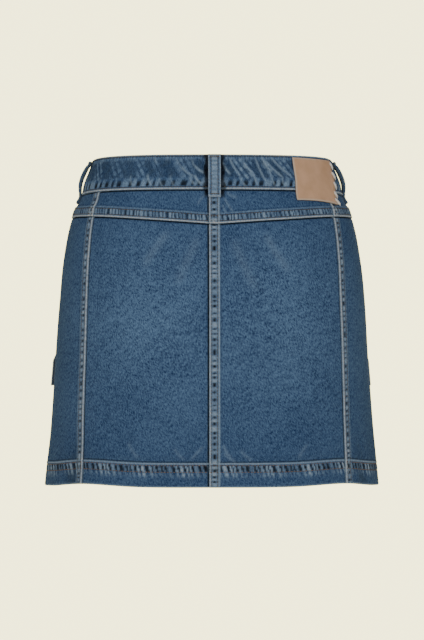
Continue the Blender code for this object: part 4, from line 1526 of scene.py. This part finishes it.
def make_camera():
    turn = math.radians(VIEW_AZIMUTH)
    data = bpy.data.cameras.new("camera")
    data.sensor_fit = "HORIZONTAL"
    data.sensor_width = SENSOR
    data.lens = SENSOR * VIEW_DISTANCE / FRAME_WIDTH
    data.clip_end = 60.0
    camera = new_object("camera", data)
    camera.location = VIEW_MIDDLE + Vector((math.sin(turn), -math.cos(turn), 0.0)) * VIEW_DISTANCE
    camera.rotation_euler = (VIEW_MIDDLE - camera.location).to_track_quat("-Z", "Y").to_euler()
    bpy.context.scene.camera = camera


def area_light(name, place, size, power):
    """Round lamp that points at the middle of the skirt and isn't seen itself."""
    data = bpy.data.lights.new(name, "AREA")
    data.shape = "DISK"
    data.size = size
    data.energy = power
    light = new_object(name, data)
    light.visible_camera = False
    light.location = place
    light.rotation_euler = (VIEW_MIDDLE - Vector(place)).to_track_quat("-Z", "Y").to_euler()


BACKDROP = (4.13, 3.83, 1.88)      # radiance of the warm pale backdrop
FLOOR_LEVEL = -1.10


def paper_finish(name, lit_share):
    """Pale paper; part of its brightness is its own light, so that it matches the backdrop."""
    n = Nodes(name)
    mottle = n.noise(n.object_place(), 0.4, detail=2.0)
    paper = n.mix(n.range(mottle, 0.3, 0.7), (0.84, 0.82, 0.74, 1.0), (0.86, 0.84, 0.76, 1.0))
    n.feed(n.shader, "Base Color", paper)
    n.feed(n.shader, "Roughness", 0.95)
    red, green, blue = BACKDROP
    n.feed(n.shader, "Emission Color", (1.0, green / red, blue / red, 1.0))
    n.feed(n.shader, "Emission Strength", red * lit_share)
    return n.material


def round_stage(name, finish, make):
    mesh = bmesh.new()
    make(mesh)
    data = mesh_from(name, mesh)
    data.materials.append(finish)
    piece = new_object(name, data)
    return piece


def make_stage():
    """Round pale floor, as far below the waist as a wearer's feet, in a pale round backdrop."""
    floor = round_stage(
        "floor", paper_finish("floor_paper", 0.75),
        lambda mesh: bmesh.ops.create_circle(mesh, cap_ends=True, radius=4.0, segments=96))
    floor.location.z = FLOOR_LEVEL
    floor.visible_diffuse = False
    dome = round_stage(
        "backdrop", paper_finish("backdrop_paper", 1.0),
        lambda mesh: bmesh.ops.create_uvsphere(mesh, u_segments=48, v_segments=24, radius=14.0))
    dome.visible_diffuse = False
    dome.visible_glossy = False
    dome.visible_shadow = False
    world = bpy.data.worlds.new("studio")
    world.use_nodes = True
    sky = world.node_tree.nodes["Background"].inputs
    sky["Color"].default_value = (1.0, 0.99, 0.96, 1.0)
    sky["Strength"].default_value = 0.30
    bpy.context.scene.world = world
    area_light("key", (0.5, 3.6, 0.7), 1.6, 39.0)
    area_light("fill", (-1.6, 3.0, 0.2), 1.6, 8.0)
    area_light("front", (-0.8, -3.4, 0.7), 1.8, 36.0)


make_camera()
make_stage()
